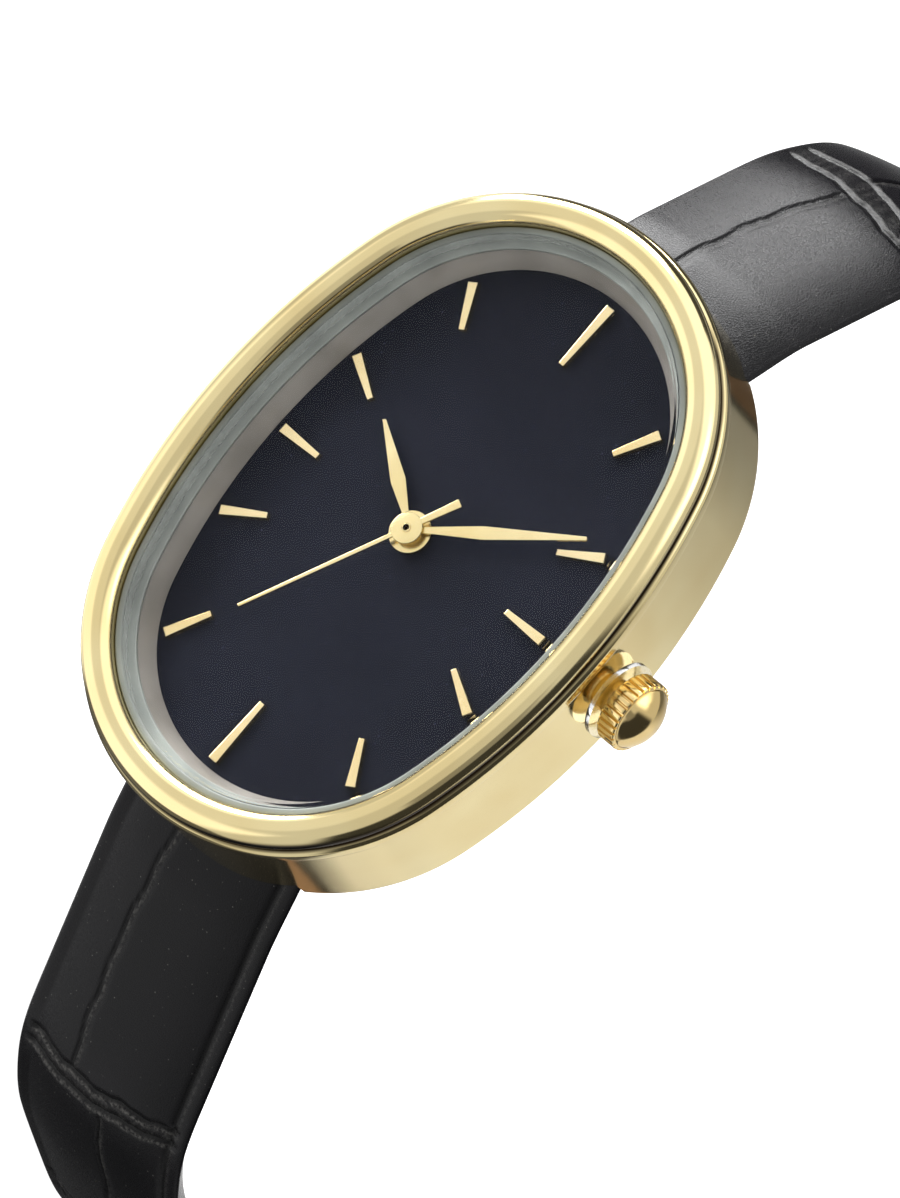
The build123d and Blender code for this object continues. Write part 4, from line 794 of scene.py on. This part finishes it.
# A cup with a domed end, as a profile turned round the crown's axis and held in to the valleys
# between its rounded ribs
def makeCrown():
    plan = crownPlan
    length, radius, dome = plan["length"], plan["radius"], plan["domeRadius"]
    capRadius = (dome ** 2 + plan["domeHeight"] ** 2) / (2 * plan["domeHeight"])
    capMiddle = length + plan["domeHeight"] - capRadius
    sealEnd = plan["sealStart"] + plan["sealWidth"]
    inside = [(0.32, length), (plan["bore"], length), (plan["bore"], sealEnd), (plan["sealRadius"], sealEnd),
              (plan["sealRadius"], plan["sealStart"]), (plan["bore"], plan["sealStart"]), (plan["bore"], 0)]
    outside = roundedLoop([(plan["bore"], 0), (radius, 0), (radius, length), (dome - 0.03, length + 0.01)],
                          [0, 0.16, 0.14, 0], 7)[1:]
    turn = np.linspace(np.arcsin((dome - 0.03) / capRadius), 0.012, 26)
    cap = np.stack([capRadius * np.sin(turn), capMiddle + capRadius * np.cos(turn)], -1)

    def ribbed(profileRadius, angles):
        valley = softStep(np.cos(plan["ribs"] * angles), 0.1, 0.85)
        return np.minimum(profileRadius, radius - plan["ribDepth"] * valley)

    points, faces = turnedRound(np.vstack([inside, outside, cap]), plan["ribs"] * plan["pointsPerRib"],
                                cut=ribbed)
    points = np.stack([plan["back"] + points[:, 2], plan["axisY"] + points[:, 0],
                       plan["axisUp"] + points[:, 1]], -1)
    newPiece("crownCup", "crown", points, faces, weighted=True, sharpAngle=50)


# The buckle, from its pin: the bar, the two arms with their eyes, the bar's notch, pin and tongue
bucklePlan = {
    "barRadius": 0.75, "barBack": -9.0, "barDown": -3.45, "innerHalf": 5.5, "armWide": 1.3, "armHalf": 0.7,
    "eyeRadius": 1.25, "edge": 0.28, "notchDepth": 0.35, "notchHalf": 0.85, "pinRadius": 0.5,
    "pinHalf": 6.345, "tongueWide": 1.3, "tongueThick": 0.8, "tongueRing": 1.1,
    "tonguePath": ((0, 0), (-2.2, -4.1), (-9.45, -4.29)),
}


# From the buckle's own drawing, with its pin at the origin, to where the pin hangs
def atPin(points):
    return np.stack([points[:, 0], pinAcross - points[:, 2], pinUp + points[:, 1]], -1)


# Points of a turned shape, with its axis laid across the strap
def laidAcross(shape):
    return shape[0][:, [2, 0, 1]], shape[1]


def bucklePiece(name, node, shape, **rest):
    newPiece(name, node, atPin(shape[0]), shape[1], sharpAngle=50, **rest)


# Two arms whose outline swells round the pin's eye and round the bar, joined by a notched round bar
def makeBuckleFrame():
    plan = bucklePlan
    reach, edge = np.array([plan["barBack"], plan["barDown"]]), plan["edge"]
    far = np.linalg.norm(reach)
    way, side = unit(reach), quarterTurn(unit(reach))
    t = (far + plan["eyeRadius"] + plan["barRadius"]) * (1 - np.cos(np.linspace(0.03, np.pi - 0.04, 70))) / 2
    t -= plan["eyeRadius"]
    eye = np.sqrt(np.maximum(plan["eyeRadius"] ** 2 - t ** 2, 0))
    bar = np.sqrt(np.maximum(plan["barRadius"] ** 2 - (t - far) ** 2, 0))
    arm = plan["armHalf"] * ((t > 0) & (t < far))
    half = (eye ** 7 + bar ** 7 + arm ** 7) ** (1 / 7)
    outline = np.vstack([t[:, None] * way - half[:, None] * side,
                         (t[:, None] * way + half[:, None] * side)[::-1]])
    quarter = np.linspace(0, np.pi / 2, 6)
    cut, rise = edge * (1 - np.cos(quarter)), edge * np.sin(quarter)
    levels = list(zip(cut[::-1], edge - rise[::-1])) + list(zip(cut, plan["armWide"] - edge + rise))
    arms = []
    for end in (-1, 1):
        points, faces = laidAcross(slab(outline, levels))
        points[:, 0] = end * (plan["innerHalf"] + points[:, 0])
        arms.append((points, faces))
    outer = plan["innerHalf"] + 0.5 * plan["armWide"]
    places = np.unique(np.concatenate([np.linspace(-outer, outer, 81), np.linspace(-1.1, 1.1, 61)]))[:, None]
    turn = np.linspace(0, 2 * np.pi, 64, endpoint=False)[None, :]
    notch = softStep(plan["notchHalf"] + 0.1 - np.abs(places), 0, 0.12)
    floor = plan["barDown"] - plan["barRadius"] + plan["notchDepth"] * notch
    across = plan["barBack"] + plan["barRadius"] * np.cos(turn)
    up = np.maximum(plan["barDown"] + plan["barRadius"] * np.sin(turn), floor)
    points = np.stack(np.broadcast_arrays(places, across, up), -1).reshape(-1, 3)
    crossbar = points, tubeFaces(len(places), turn.size)
    bucklePiece("buckleFrame", "buckle_frame", joinShells(arms + [crossbar]), weighted=True)


# The tongue's arm is a rounded section carried along its bent path, and its ring turns on the pin
def makeTongue():
    plan = bucklePlan
    s, path = smoothRoute(plan["tonguePath"], (0.11,), 0.3, 0.06)
    keep = s > 0.75
    s, path = s[keep], path[keep]
    normal = quarterTurn(unit(np.gradient(path, axis=0)))
    wide, thick = plan["tongueWide"] / 2, plan["tongueThick"] / 2
    section = roundedLoop(rectangle(-wide, -thick, wide, thick), [0.22] * 4, 6)
    left = np.clip(s[-1] - s, 0, 0.5) / 0.5
    thin = np.sqrt(np.maximum(1 - (1 - left) ** 2, 0.01))[:, None]
    x = section[None, :, 0] * (0.55 + 0.45 * thin)
    lift = section[None, :, 1] * thin
    place = path[:, None, :] + normal[:, None, :] * lift[..., None]
    arm = np.concatenate([x[..., None], place], -1).reshape(-1, 3), tubeFaces(len(s), len(section))
    profile = roundedLoop(rectangle(plan["pinRadius"] + 0.04, -wide, plan["tongueRing"], wide),
                          [0.05, 0.15, 0.15, 0.05], 5)
    ring = laidAcross(turnedRound(profile, 64, True))
    bucklePiece("buckleTongue", "buckle_tongue", joinShells([arm, ring]), weighted=True)


# A round pin with domed ends
def makeBucklePin():
    half = bucklePlan["pinHalf"]
    profile = roundedLoop(rectangle(0.02, -half, bucklePlan["pinRadius"], half), [0, 0.12, 0.12, 0], 7)
    bucklePiece("bucklePin", "buckle_pin", laidAcross(turnedRound(profile, 48)))


# A colour mix node has these sockets: the two it mixes, and its result
mixFrom, mixTo, mixed = 6, 7, 2


# Gives an input another node's output, or a value
def feed(tree, socket, value):
    if isinstance(value, bpy.types.NodeSocket):
        tree.links.new(value, socket)
    else:
        socket.default_value = value


# Adds a node with its own settings, and feeds its inputs
def put(tree, kind, inputs, **settings):
    node = tree.nodes.new(kind)
    for label, value in settings.items():
        setattr(node, label, value)
    for label, value in inputs.items():
        feed(tree, node.inputs[label], value)
    return node


def calculate(tree, operation, *values):
    return put(tree, "ShaderNodeMath", dict(enumerate(values)), operation=operation).outputs["Value"]


def noiseOf(tree, place, scale, detail=3.0, roughness=0.55):
    return put(tree, "ShaderNodeTexNoise", {"Vector": place, "Scale": scale, "Detail": detail,
                                            "Roughness": roughness})


# A value's stretch between low and high, carried to that between first and last
def ramp(tree, value, low, high, first=0.0, last=1.0, **settings):
    return put(tree, "ShaderNodeMapRange", {"Value": value, "From Min": low, "From Max": high,
                                            "To Min": first, "To Max": last}, **settings).outputs["Result"]


def mixColours(tree, mask, start, target):
    return put(tree, "ShaderNodeMix", {"Factor": mask, mixFrom: start, mixTo: target},
               data_type="RGBA").outputs[mixed]


def mixValues(tree, mask, start, target):
    return put(tree, "ShaderNodeMix", {"Factor": mask, "A": start, "B": target}).outputs["Result"]


# How far a place lies along a direction
def alongAxis(tree, place, axis):
    return put(tree, "ShaderNodeVectorMath", {0: place, 1: axis}, operation="DOT_PRODUCT").outputs["Value"]


def objectPlace(tree):
    return tree.nodes.new("ShaderNodeTexCoord").outputs["Object"]


# A mark stored on the points of a mesh, or nothing where a mesh has none
def markOf(tree, label):
    return put(tree, "ShaderNodeAttribute", {}, attribute_name=label).outputs["Fac"]


def colour(text):
    parts = [int(text[i:i + 2], 16) / 255 for i in (0, 2, 4)]
    return tuple(p / 12.92 if p <= 0.04045 else ((p + 0.055) / 1.055) ** 2.4 for p in parts) + (1,)


def newMaterial(name, **sockets):
    material = bpy.data.materials.new(name)
    material.use_nodes = True
    tree = material.node_tree
    shader = tree.nodes["Principled BSDF"]
    for label, value in sockets.items():
        shader.inputs[label.replace("_", " ")].default_value = value
    return material, tree, shader


# A node group whose sockets are given by name and kind; build gets its tree and its inputs, and
# returns its outputs in order
def newGroup(name, inputs, outputs, build):
    tree = bpy.data.node_groups.new(name, "ShaderNodeTree")
    for way, sockets in (("INPUT", inputs), ("OUTPUT", outputs)):
        for label, kind in sockets.items():
            tree.interface.new_socket(label, in_out=way, socket_type="NodeSocket" + kind)
    made = build(tree, tree.nodes.new("NodeGroupInput").outputs)
    out = tree.nodes.new("NodeGroupOutput")
    for label, socket in zip(outputs, made):
        tree.links.new(socket, out.inputs[label])
    return tree


# Places a group and feeds its inputs; gives back its outputs
def placeGroup(tree, group, **inputs):
    node = tree.nodes.new("ShaderNodeGroup")
    node.node_tree = group
    for label, value in inputs.items():
        feed(tree, node.inputs[label], value)
    return node.outputs


# Slow drift between two colours, with a matching mask
def buildDrift(tree, given):
    noise = put(tree, "ShaderNodeTexNoise", {"Vector": given["Place"], "Scale": given["Scale"]})
    spread = ramp(tree, noise.outputs["Fac"], 0.35, 0.65)
    return mixColours(tree, spread, given["Light"], given["Dark"]), spread


# Hairline scratches: noise stretched along one direction, kept where it is strongest
def buildHairlines(tree, given):
    stretched = put(tree, "ShaderNodeVectorMath", {0: given["Place"], 1: given["Stretch"]},
                    operation="MULTIPLY")
    noise = noiseOf(tree, stretched.outputs["Vector"], 1.0, 4.0, 0.7)
    return [ramp(tree, noise.outputs["Fac"], 0.5, 0.75)]


# Small pebbles of leather: cells whose edges sink, broken by fine noise
def buildPebbles(tree, given):
    warp = noiseOf(tree, given["Place"], 900.0, 2.0)
    shift = put(tree, "ShaderNodeVectorMath", {0: warp.outputs["Color"], "Scale": 0.00025},
                operation="SCALE")
    moved = put(tree, "ShaderNodeVectorMath", {0: given["Place"], 1: shift.outputs["Vector"]})
    cells = put(tree, "ShaderNodeTexVoronoi", {"Vector": moved.outputs["Vector"], "Scale": given["Scale"]},
                feature="DISTANCE_TO_EDGE")
    rise = ramp(tree, cells.outputs["Distance"], 0.0, 0.22)
    fine = noiseOf(tree, given["Place"], given["Fine"], 3.0, 0.6)
    return calculate(tree, "MULTIPLY_ADD", fine.outputs["Fac"], 0.45, rise), rise


# Rare bright specks, such as dust or flecks in a lacquer
def buildSpecks(tree, given):
    cells = put(tree, "ShaderNodeTexVoronoi", {"Vector": given["Place"], "Scale": given["Scale"]})
    near = ramp(tree, cells.outputs["Distance"], 0.16, 0.08)
    return [calculate(tree, "MULTIPLY", near, ramp(tree, cells.outputs["Color"], 0.6, 0.9))]


drift = newGroup("colourDrift", {"Place": "Vector", "Scale": "Float", "Light": "Color", "Dark": "Color"},
                 {"Colour": "Color", "Mask": "Float"}, buildDrift)
hairlines = newGroup("hairlines", {"Place": "Vector", "Stretch": "Vector"}, {"Mask": "Float"},
                     buildHairlines)
pebbles = newGroup("leatherPebbles", {"Place": "Vector", "Scale": "Float", "Fine": "Float"},
                   {"Height": "Float", "Mask": "Float"}, buildPebbles)
specks = newGroup("specks", {"Place": "Vector", "Scale": "Float"}, {"Mask": "Float"}, buildSpecks)


# Gives a shader its colour, its roughness, and a relief from a height, as strong and deep as given
def dress(tree, shader, shade, roughness, height, strength, depth):
    relief = put(tree, "ShaderNodeBump", {"Height": height, "Strength": strength, "Distance": depth})
    tree.links.new(shade, shader.inputs["Base Color"])
    tree.links.new(roughness, shader.inputs["Roughness"])
    tree.links.new(relief.outputs["Normal"], shader.inputs["Normal"])


def twoTones(tree, place, scale, light, dark):
    toned = placeGroup(tree, drift, Place=place, Scale=scale, Light=colour(light), Dark=colour(dark))
    return toned["Colour"]


# Metal of two close tones with hairlines that roughen it a little, painted dark as painted shade and
# reflection where a piece marks its seams and bores
def metal(name, light, dark, rough, spread, stretch=(900, 900, 6000), bump=0.02):
    material, tree, shader = newMaterial(name, Metallic=1.0)
    place = objectPlace(tree)
    lines = placeGroup(tree, hairlines, Place=place, Stretch=stretch)["Mask"]
    tones = twoTones(tree, place, 160.0, light, dark)
    # Painted shade: the marked seam and bores turn dark brown
    shade = mixColours(tree, markOf(tree, "sunkShade"), tones, colour("241b10"))
    dress(tree, shader, shade, ramp(tree, lines, 0.0, 1.0, rough, rough + spread), lines, bump, 0.00002)
    return material


# Paint, plastic or rubber of two close tones with a fine grain
def coated(name, light, dark, rough, bump=0.1):
    material, tree, shader = newMaterial(name)
    place = objectPlace(tree)
    grain = noiseOf(tree, place, 4000.0).outputs["Fac"]
    dress(tree, shader, twoTones(tree, place, 300.0, light, dark),
          ramp(tree, grain, 0.3, 0.7, rough, rough + 0.1), grain, bump, 0.00003)
    return material


# Nearly black lacquer with faint pale specks
def dialLacquer():
    material, tree, shader = newMaterial("dialLacquer", Roughness=0.35, Specular_IOR_Level=0.04)
    place = objectPlace(tree)
    dust = placeGroup(tree, specks, Place=place, Scale=2600.0)["Mask"]
    shade = mixColours(tree, dust, twoTones(tree, place, 90.0, "171922", "12141c"), colour("4a4d5e"))
    tree.links.new(shade, shader.inputs["Base Color"])
    return material


# Clear glass: shadow rays pass straight through, so that the dial is lit
def clearGlass(name, tint, ior=1.45, rough=0.0):
    material, tree, shader = newMaterial(name, Base_Color=tint, Roughness=rough, IOR=ior,
                                         Transmission_Weight=1.0)
    shadow = tree.nodes.new("ShaderNodeLightPath").outputs["Is Shadow Ray"]
    through = tree.nodes.new("ShaderNodeBsdfTransparent")
    mix = put(tree, "ShaderNodeMixShader", {"Fac": shadow, 1: shader.outputs["BSDF"],
                                            2: through.outputs["BSDF"]})
    tree.links.new(mix.outputs["Shader"], tree.nodes["Material Output"].inputs["Surface"])
    return material


# Embossed leather: pebbles and pale flecks everywhere, scuffed pale on the strap's lips and painted
# black in its sunken lines as painted shade; a keeper or lining has no such marks and shows neither
def leather(name, light, dark, rough, pebble, bump, fine=11.0):
    material, tree, shader = newMaterial(name, Specular_IOR_Level=0.13)
    place = objectPlace(tree)
    grain = placeGroup(tree, pebbles, Place=place, Scale=pebble * 1000, Fine=fine * 1000)
    flecks = placeGroup(tree, specks, Place=place, Scale=3400.0)["Mask"]
    broken = ramp(tree, noiseOf(tree, place, 5200.0, 4.0, 0.7).outputs["Fac"], 0.42, 0.6)
    wear = markOf(tree, "wear")
    scuffed = calculate(tree, "MULTIPLY", calculate(tree, "MULTIPLY", wear, broken), 0.45)
    shade = twoTones(tree, place, 220.0, light, dark)
    # The last of these mixes is painted shade: the sunken lines turn black
    for mask, target in ((calculate(tree, "MULTIPLY", flecks, 0.55), "7a7974"), (scuffed, "8c8a86"),
                         (markOf(tree, "sunkShade"), "030303")):
        shade = mixColours(tree, mask, shade, colour(target))
    smooth = ramp(tree, grain["Mask"], 0.0, 1.0, rough + 0.12, rough)
    worn = calculate(tree, "MULTIPLY_ADD", wear, 0.3, smooth)
    dress(tree, shader, shade, worn, grain["Height"], bump, 0.00006)
    return material


gold = metal("paleGold", "ecdca9", "e3cf98", rough=0.11, spread=0.05)
crownGold = metal("crownGold", "ecd39a", "e2c687", rough=0.1, spread=0.05)
handGold = metal("handGold", "eadaa8", "e2cd90", rough=0.2, spread=0.08)
markerGold = metal("markerGold", "eddcae", "e2cb94", rough=0.22, spread=0.08)
brushedSteel = metal("brushedSteel", "c9c8c4", "b2b1ad", rough=0.25, spread=0.15, stretch=(300, 9000, 300),
                     bump=0.1)
plainSteel = metal("plainSteel", "c2c3c6", "a9abaf", rough=0.16, spread=0.1)
turnedBrass = metal("turnedBrass", "d9b35c", "c29a48", rough=0.2, spread=0.1)
plated = metal("platedBrass", "cfcdc6", "bcbab2", rough=0.28, spread=0.14, stretch=(200, 7000, 200), bump=0.1)
copper = metal("copperWire", "b8622c", "8f4a20", rough=0.3, spread=0.15, stretch=(9000, 300, 300), bump=0.5)
softIron = metal("softIron", "9c9b96", "83827d", rough=0.35, spread=0.12)
sealRubber = coated("sealRubber", "8b908a", "787d78", rough=0.4)
blackRubber = coated("blackRubber", "232424", "191a1a", rough=0.55)
rehautGrey = coated("rehautGrey", "8a8680", "77736d", rough=0.38, bump=0.04)
paleMoulding = coated("paleMoulding", "dcdad2", "cfccc2", rough=0.45)
wheelPlastic = coated("wheelPlastic", "e8e2cf", "dbd3bd", rough=0.35)
solderMask = coated("solderMask", "1c5a35", "154628", rough=0.35)
crystalGlass = clearGlass("crystalGlass", (1, 1, 1, 1), ior=1.12)       # coated against reflections
clearPlastic = clearGlass("clearPlastic", (0.97, 0.98, 0.99, 1), rough=0.06)
blackLeather = leather("blackLeather", "09080b", "060608", rough=0.19, pebble=8.0, fine=16.0, bump=0.13)
liningLeather = leather("liningLeather", "6b5544", "574436", rough=0.6, pebble=6.0, bump=0.15)
dialPaint = dialLacquer()
print("materials made")

# Slot, material and nodes of each finish; nodes without a slot keep their own meshes
finishes = (
    ("polished_gold_case", gold, ("case_body", "bezel")),
    ("buckle_gold", gold, ("buckle_frame", "buckle_tongue", "buckle_pin")),
    ("crown_gold", crownGold, ("crown",)),
    ("hand_gold", handGold, ("hour_hand", "minute_hand", "seconds_hand")),
    ("marker_gold", markerGold, ("long_hour_markers", "short_hour_markers")),
    ("seal_rubber", sealRubber, ("crystal_gasket",)),
    ("rehaut_grey", rehautGrey, ("rehaut_ring",)),
    ("black_leather", blackLeather, ("short_strap", "long_strap", "fixed_keeper", "free_keeper")),
    ("lining_leather", liningLeather, ("short_strap_lining", "long_strap_lining")),
    (None, brushedSteel, ("case_back", "battery")),
    (None, plainSteel, ("winding_stem", "setting_pinion", "setting_lever", "bridge_screws", "quartz_can",
                        "battery_contact", "spring_bar_twelve", "spring_bar_six")),
    (None, turnedBrass, ("crown_tube", "cannon_pinion", "hour_wheel", "minute_wheel", "centre_wheel",
                         "third_wheel", "fourth_wheel")),
    (None, plated, ("main_plate", "train_bridge")),
    (None, wheelPlastic, ("intermediate_wheel", "rotor")),
    (None, blackRubber, ("case_back_gasket", "crown_gasket")),
    (None, crystalGlass, ("crystal",)), (None, clearPlastic, ("crown_spacer",)),
    (None, dialPaint, ("dial",)), (None, paleMoulding, ("movement_holder",)),
    (None, copper, ("coil",)), (None, softIron, ("stator",)), (None, solderMask, ("circuit_board",)),
)
finishOf = {node: (slot, material) for slot, material, nodes in finishes for node in nodes}
for node, (slot, material) in finishOf.items():
    if slot is None:
        mesh = frame["nodes"][node].data
        mesh.materials.clear()
        mesh.materials.append(material)
print("carried-over nodes have their finishes")

makeCaseBody()
makeBezel()
makeGlassSeal()
makeRehaut()
print("case made")
makeStraps()
makeKeeper("fixedLoop", "fixed_keeper", keeperPlan["fixedWall"])
makeKeeper("slidingLoop", "free_keeper", keeperPlan["freeWall"])
print("strap made")
makeLeafHand("hourHand", "hour_hand", handPlan["hour"], 0)
makeLeafHand("minuteHand", "minute_hand", handPlan["minute"], 1)
makeSecondsHand()
makeMarkers("longMarkers", "long_hour_markers", markerPlan["long"], (0, 180))
makeMarkers("shortMarkers", "short_hour_markers", markerPlan["short"],
            [30 * number for number in range(12) if number % 6])
print("hands and markers made")
makeCrown()
makeBuckleFrame()
makeTongue()
makeBucklePin()
print("crown and buckle made")

# The camera, far away: the picture's own right and down, the dial's middle seen from it in units,
# its focal length and the picture's height in pixels, and the film's height
view = {
    "right": (0.6895, 0.66, -0.2983), "down": (0.5694, -0.7485, -0.34), "unit": 1.12,
    "offset": (-1.59, -2.78, 1609.6), "focal": 36000.0, "tall": 1198.0, "film": 36.0,
}
right, down = unit(np.array(view["right"])), np.array(view["down"])
down = unit(down - right * (right @ down))
into = np.cross(right, down)
offset = np.array(view["offset"]) * view["unit"]
eye = -(right * offset[0] + down * offset[1] + into * offset[2]) + np.array([0, 0, dialHigh[2]])
camera = bpy.data.cameras.new("camera")
camera.lens = view["focal"] * view["film"] / view["tall"]
camera.sensor_width = view["film"]
camera.sensor_fit = "AUTO"
camera.clip_end = 10.0
cameraObject = bpy.data.objects.new("camera", camera)
turn = Matrix([[right[i], -down[i], -into[i]] for i in range(3)])
cameraObject.matrix_world = Matrix.Translation(Vector(eye * mm)) @ turn.to_4x4()
bpy.context.scene.collection.objects.link(cameraObject)
bpy.context.scene.camera = cameraObject


# The only lamp; shiny surfaces don't see it, because the cards make the highlights
def lamp(name, place, aim, size, power):
    light = bpy.data.lights.new(name, "AREA")
    light.size, light.energy = size, power
    item = bpy.data.objects.new(name, light)
    item.location = place
    item.rotation_euler = (Vector(aim) - Vector(place)).to_track_quat("-Z", "Y").to_euler()
    item.visible_glossy = False
    bpy.context.scene.collection.objects.link(item)


# The studio's values: the floor's radius and its lift to white, the sky's brightness between cards,
# the even level that matt surfaces see, and the floor's painted shades, which darken it where the gold
# mirrors shade. Each painted shade runs along a direction, between two places, from one share of
# white to another. A card is a soft-edged rectangle in the sky: its direction, half width and half
# height as tangents, its edge's softness, its brightness.
studio = {
    "floor": 0.11, "lift": 1.0, "sky": 0.74, "even": 0.62,
    "lamp": {"place": (-0.54, 0.08, 0.38), "aim": (0, 0, 0), "size": 0.2, "power": 2.2},
    "paintedFloorShade": (((0, 1, 0), (0.0, 0.06), (0.78, 0.14)), ((-0.6, -0.8, 0), (0.034, 0.044), (1.0, 0.08))),
    "cards": (
        ((-0.45, 0.07, 0.89), 0.25, 0.25, 0.3, 0.95),
        ((0.0, 0.91, 0.42), 1.25, 0.55, 0.45, 1.55),
        ((-0.66, -0.6, 0.42), 0.7, 0.5, 0.4, 1.45),
        ((-0.88, 0.05, -0.4), 0.3, 0.25, 0.3, 1.5),
        ((0.76, 0.6, 0.24), 0.1, 0.1, 0.34, 3.0),
        ((-0.61, 0.77, 0.14), 0.29, 0.28, 0.12, 23.0),
        ((-0.45, -0.7, -0.52), 0.45, 0.35, 0.15, 0.15),
        ((-0.35, 0.85, -0.35), 0.5, 0.3, 0.12, 0.06),
        ((0.89, -0.41, -0.2), 0.55, 0.45, 0.3, 0.05),
        ((0.85, -0.22, 0.5), 0.13, 0.22, 0.12, 0.3),
    ),
}


# True for the camera's own rays, also where they have passed through glass
def seenDirectly(tree, path):
    return calculate(tree, "MAXIMUM", path["Is Camera Ray"], path["Is Transmission Ray"])


# A round sheet under the watch, whose grey is painted darker towards twelve and past the six side as
# painted shade for the gold to mirror; the camera sees it white, apart from what shades it
def makeFloor():
    count, radius = 96, studio["floor"]
    turn = np.linspace(0, 2 * np.pi, count, endpoint=False)
    rim = np.stack([radius * np.cos(turn), radius * np.sin(turn), np.full(count, cadBox[0][2])], -1)
    mesh = bpy.data.meshes.new("floor")
    mesh.from_pydata(rim.tolist(), [], [list(range(count))])
    floor = bpy.data.objects.new("floor", mesh)
    bpy.context.scene.collection.objects.link(floor)
    material, tree, shader = newMaterial("paleFloor", Roughness=0.9, Specular_IOR_Level=0.0)
    # Painted shade: the floor's colour falls off along each given direction
    shades = [ramp(tree, alongAxis(tree, objectPlace(tree), axis), low, high, first, last)
              for axis, (low, high), (first, last) in studio["paintedFloorShade"]]
    tree.links.new(calculate(tree, "MULTIPLY", *shades), shader.inputs["Base Color"])
    seen = seenDirectly(tree, tree.nodes.new("ShaderNodeLightPath").outputs)
    shine = put(tree, "ShaderNodeEmission", {"Strength": calculate(tree, "MULTIPLY", seen, studio["lift"])})
    add = put(tree, "ShaderNodeAddShader", {0: shader.outputs["BSDF"], 1: shine.outputs["Emission"]})
    tree.links.new(add.outputs["Shader"], tree.nodes["Material Output"].inputs["Surface"])
    mesh.materials.append(material)


# Shiny surfaces mirror the sky of cards, matt ones see its even level, and the camera sees white
def makeSky():
    world = bpy.data.worlds.new("studio")
    world.use_nodes = True
    bpy.context.scene.world = world
    tree = world.node_tree
    toward = tree.nodes.new("ShaderNodeTexCoord").outputs["Generated"]

    def within(axis, front, half, soft):
        offset = calculate(tree, "ABSOLUTE", alongAxis(tree, toward, axis))
        return ramp(tree, calculate(tree, "DIVIDE", offset, front), half + soft, half,
                    interpolation_type="SMOOTHSTEP")

    level = studio["sky"]
    for direction, wide, tall, soft, brightness in studio["cards"]:
        ahead = Vector(direction).normalized()
        side = ahead.cross(Vector((0, 0, 1))).normalized()
        front = calculate(tree, "MAXIMUM", alongAxis(tree, toward, ahead), 0.001)
        mask = calculate(tree, "MULTIPLY", within(side, front, wide, soft),
                         within(side.cross(ahead), front, tall, soft))
        level = mixValues(tree, mask, level, brightness)
    path = tree.nodes.new("ShaderNodeLightPath").outputs
    level = mixValues(tree, path["Is Diffuse Ray"], level, studio["even"])
    level = mixValues(tree, seenDirectly(tree, path), level, 1.0)
    background = tree.nodes["Background"].inputs
    tree.links.new(level, background["Strength"])
    background["Color"].default_value = (1, 1, 1, 1)


makeFloor()
makeSky()
lamp("keyLamp", **studio["lamp"])
print("studio made")

bpy.context.scene.view_settings.view_transform = "Standard"
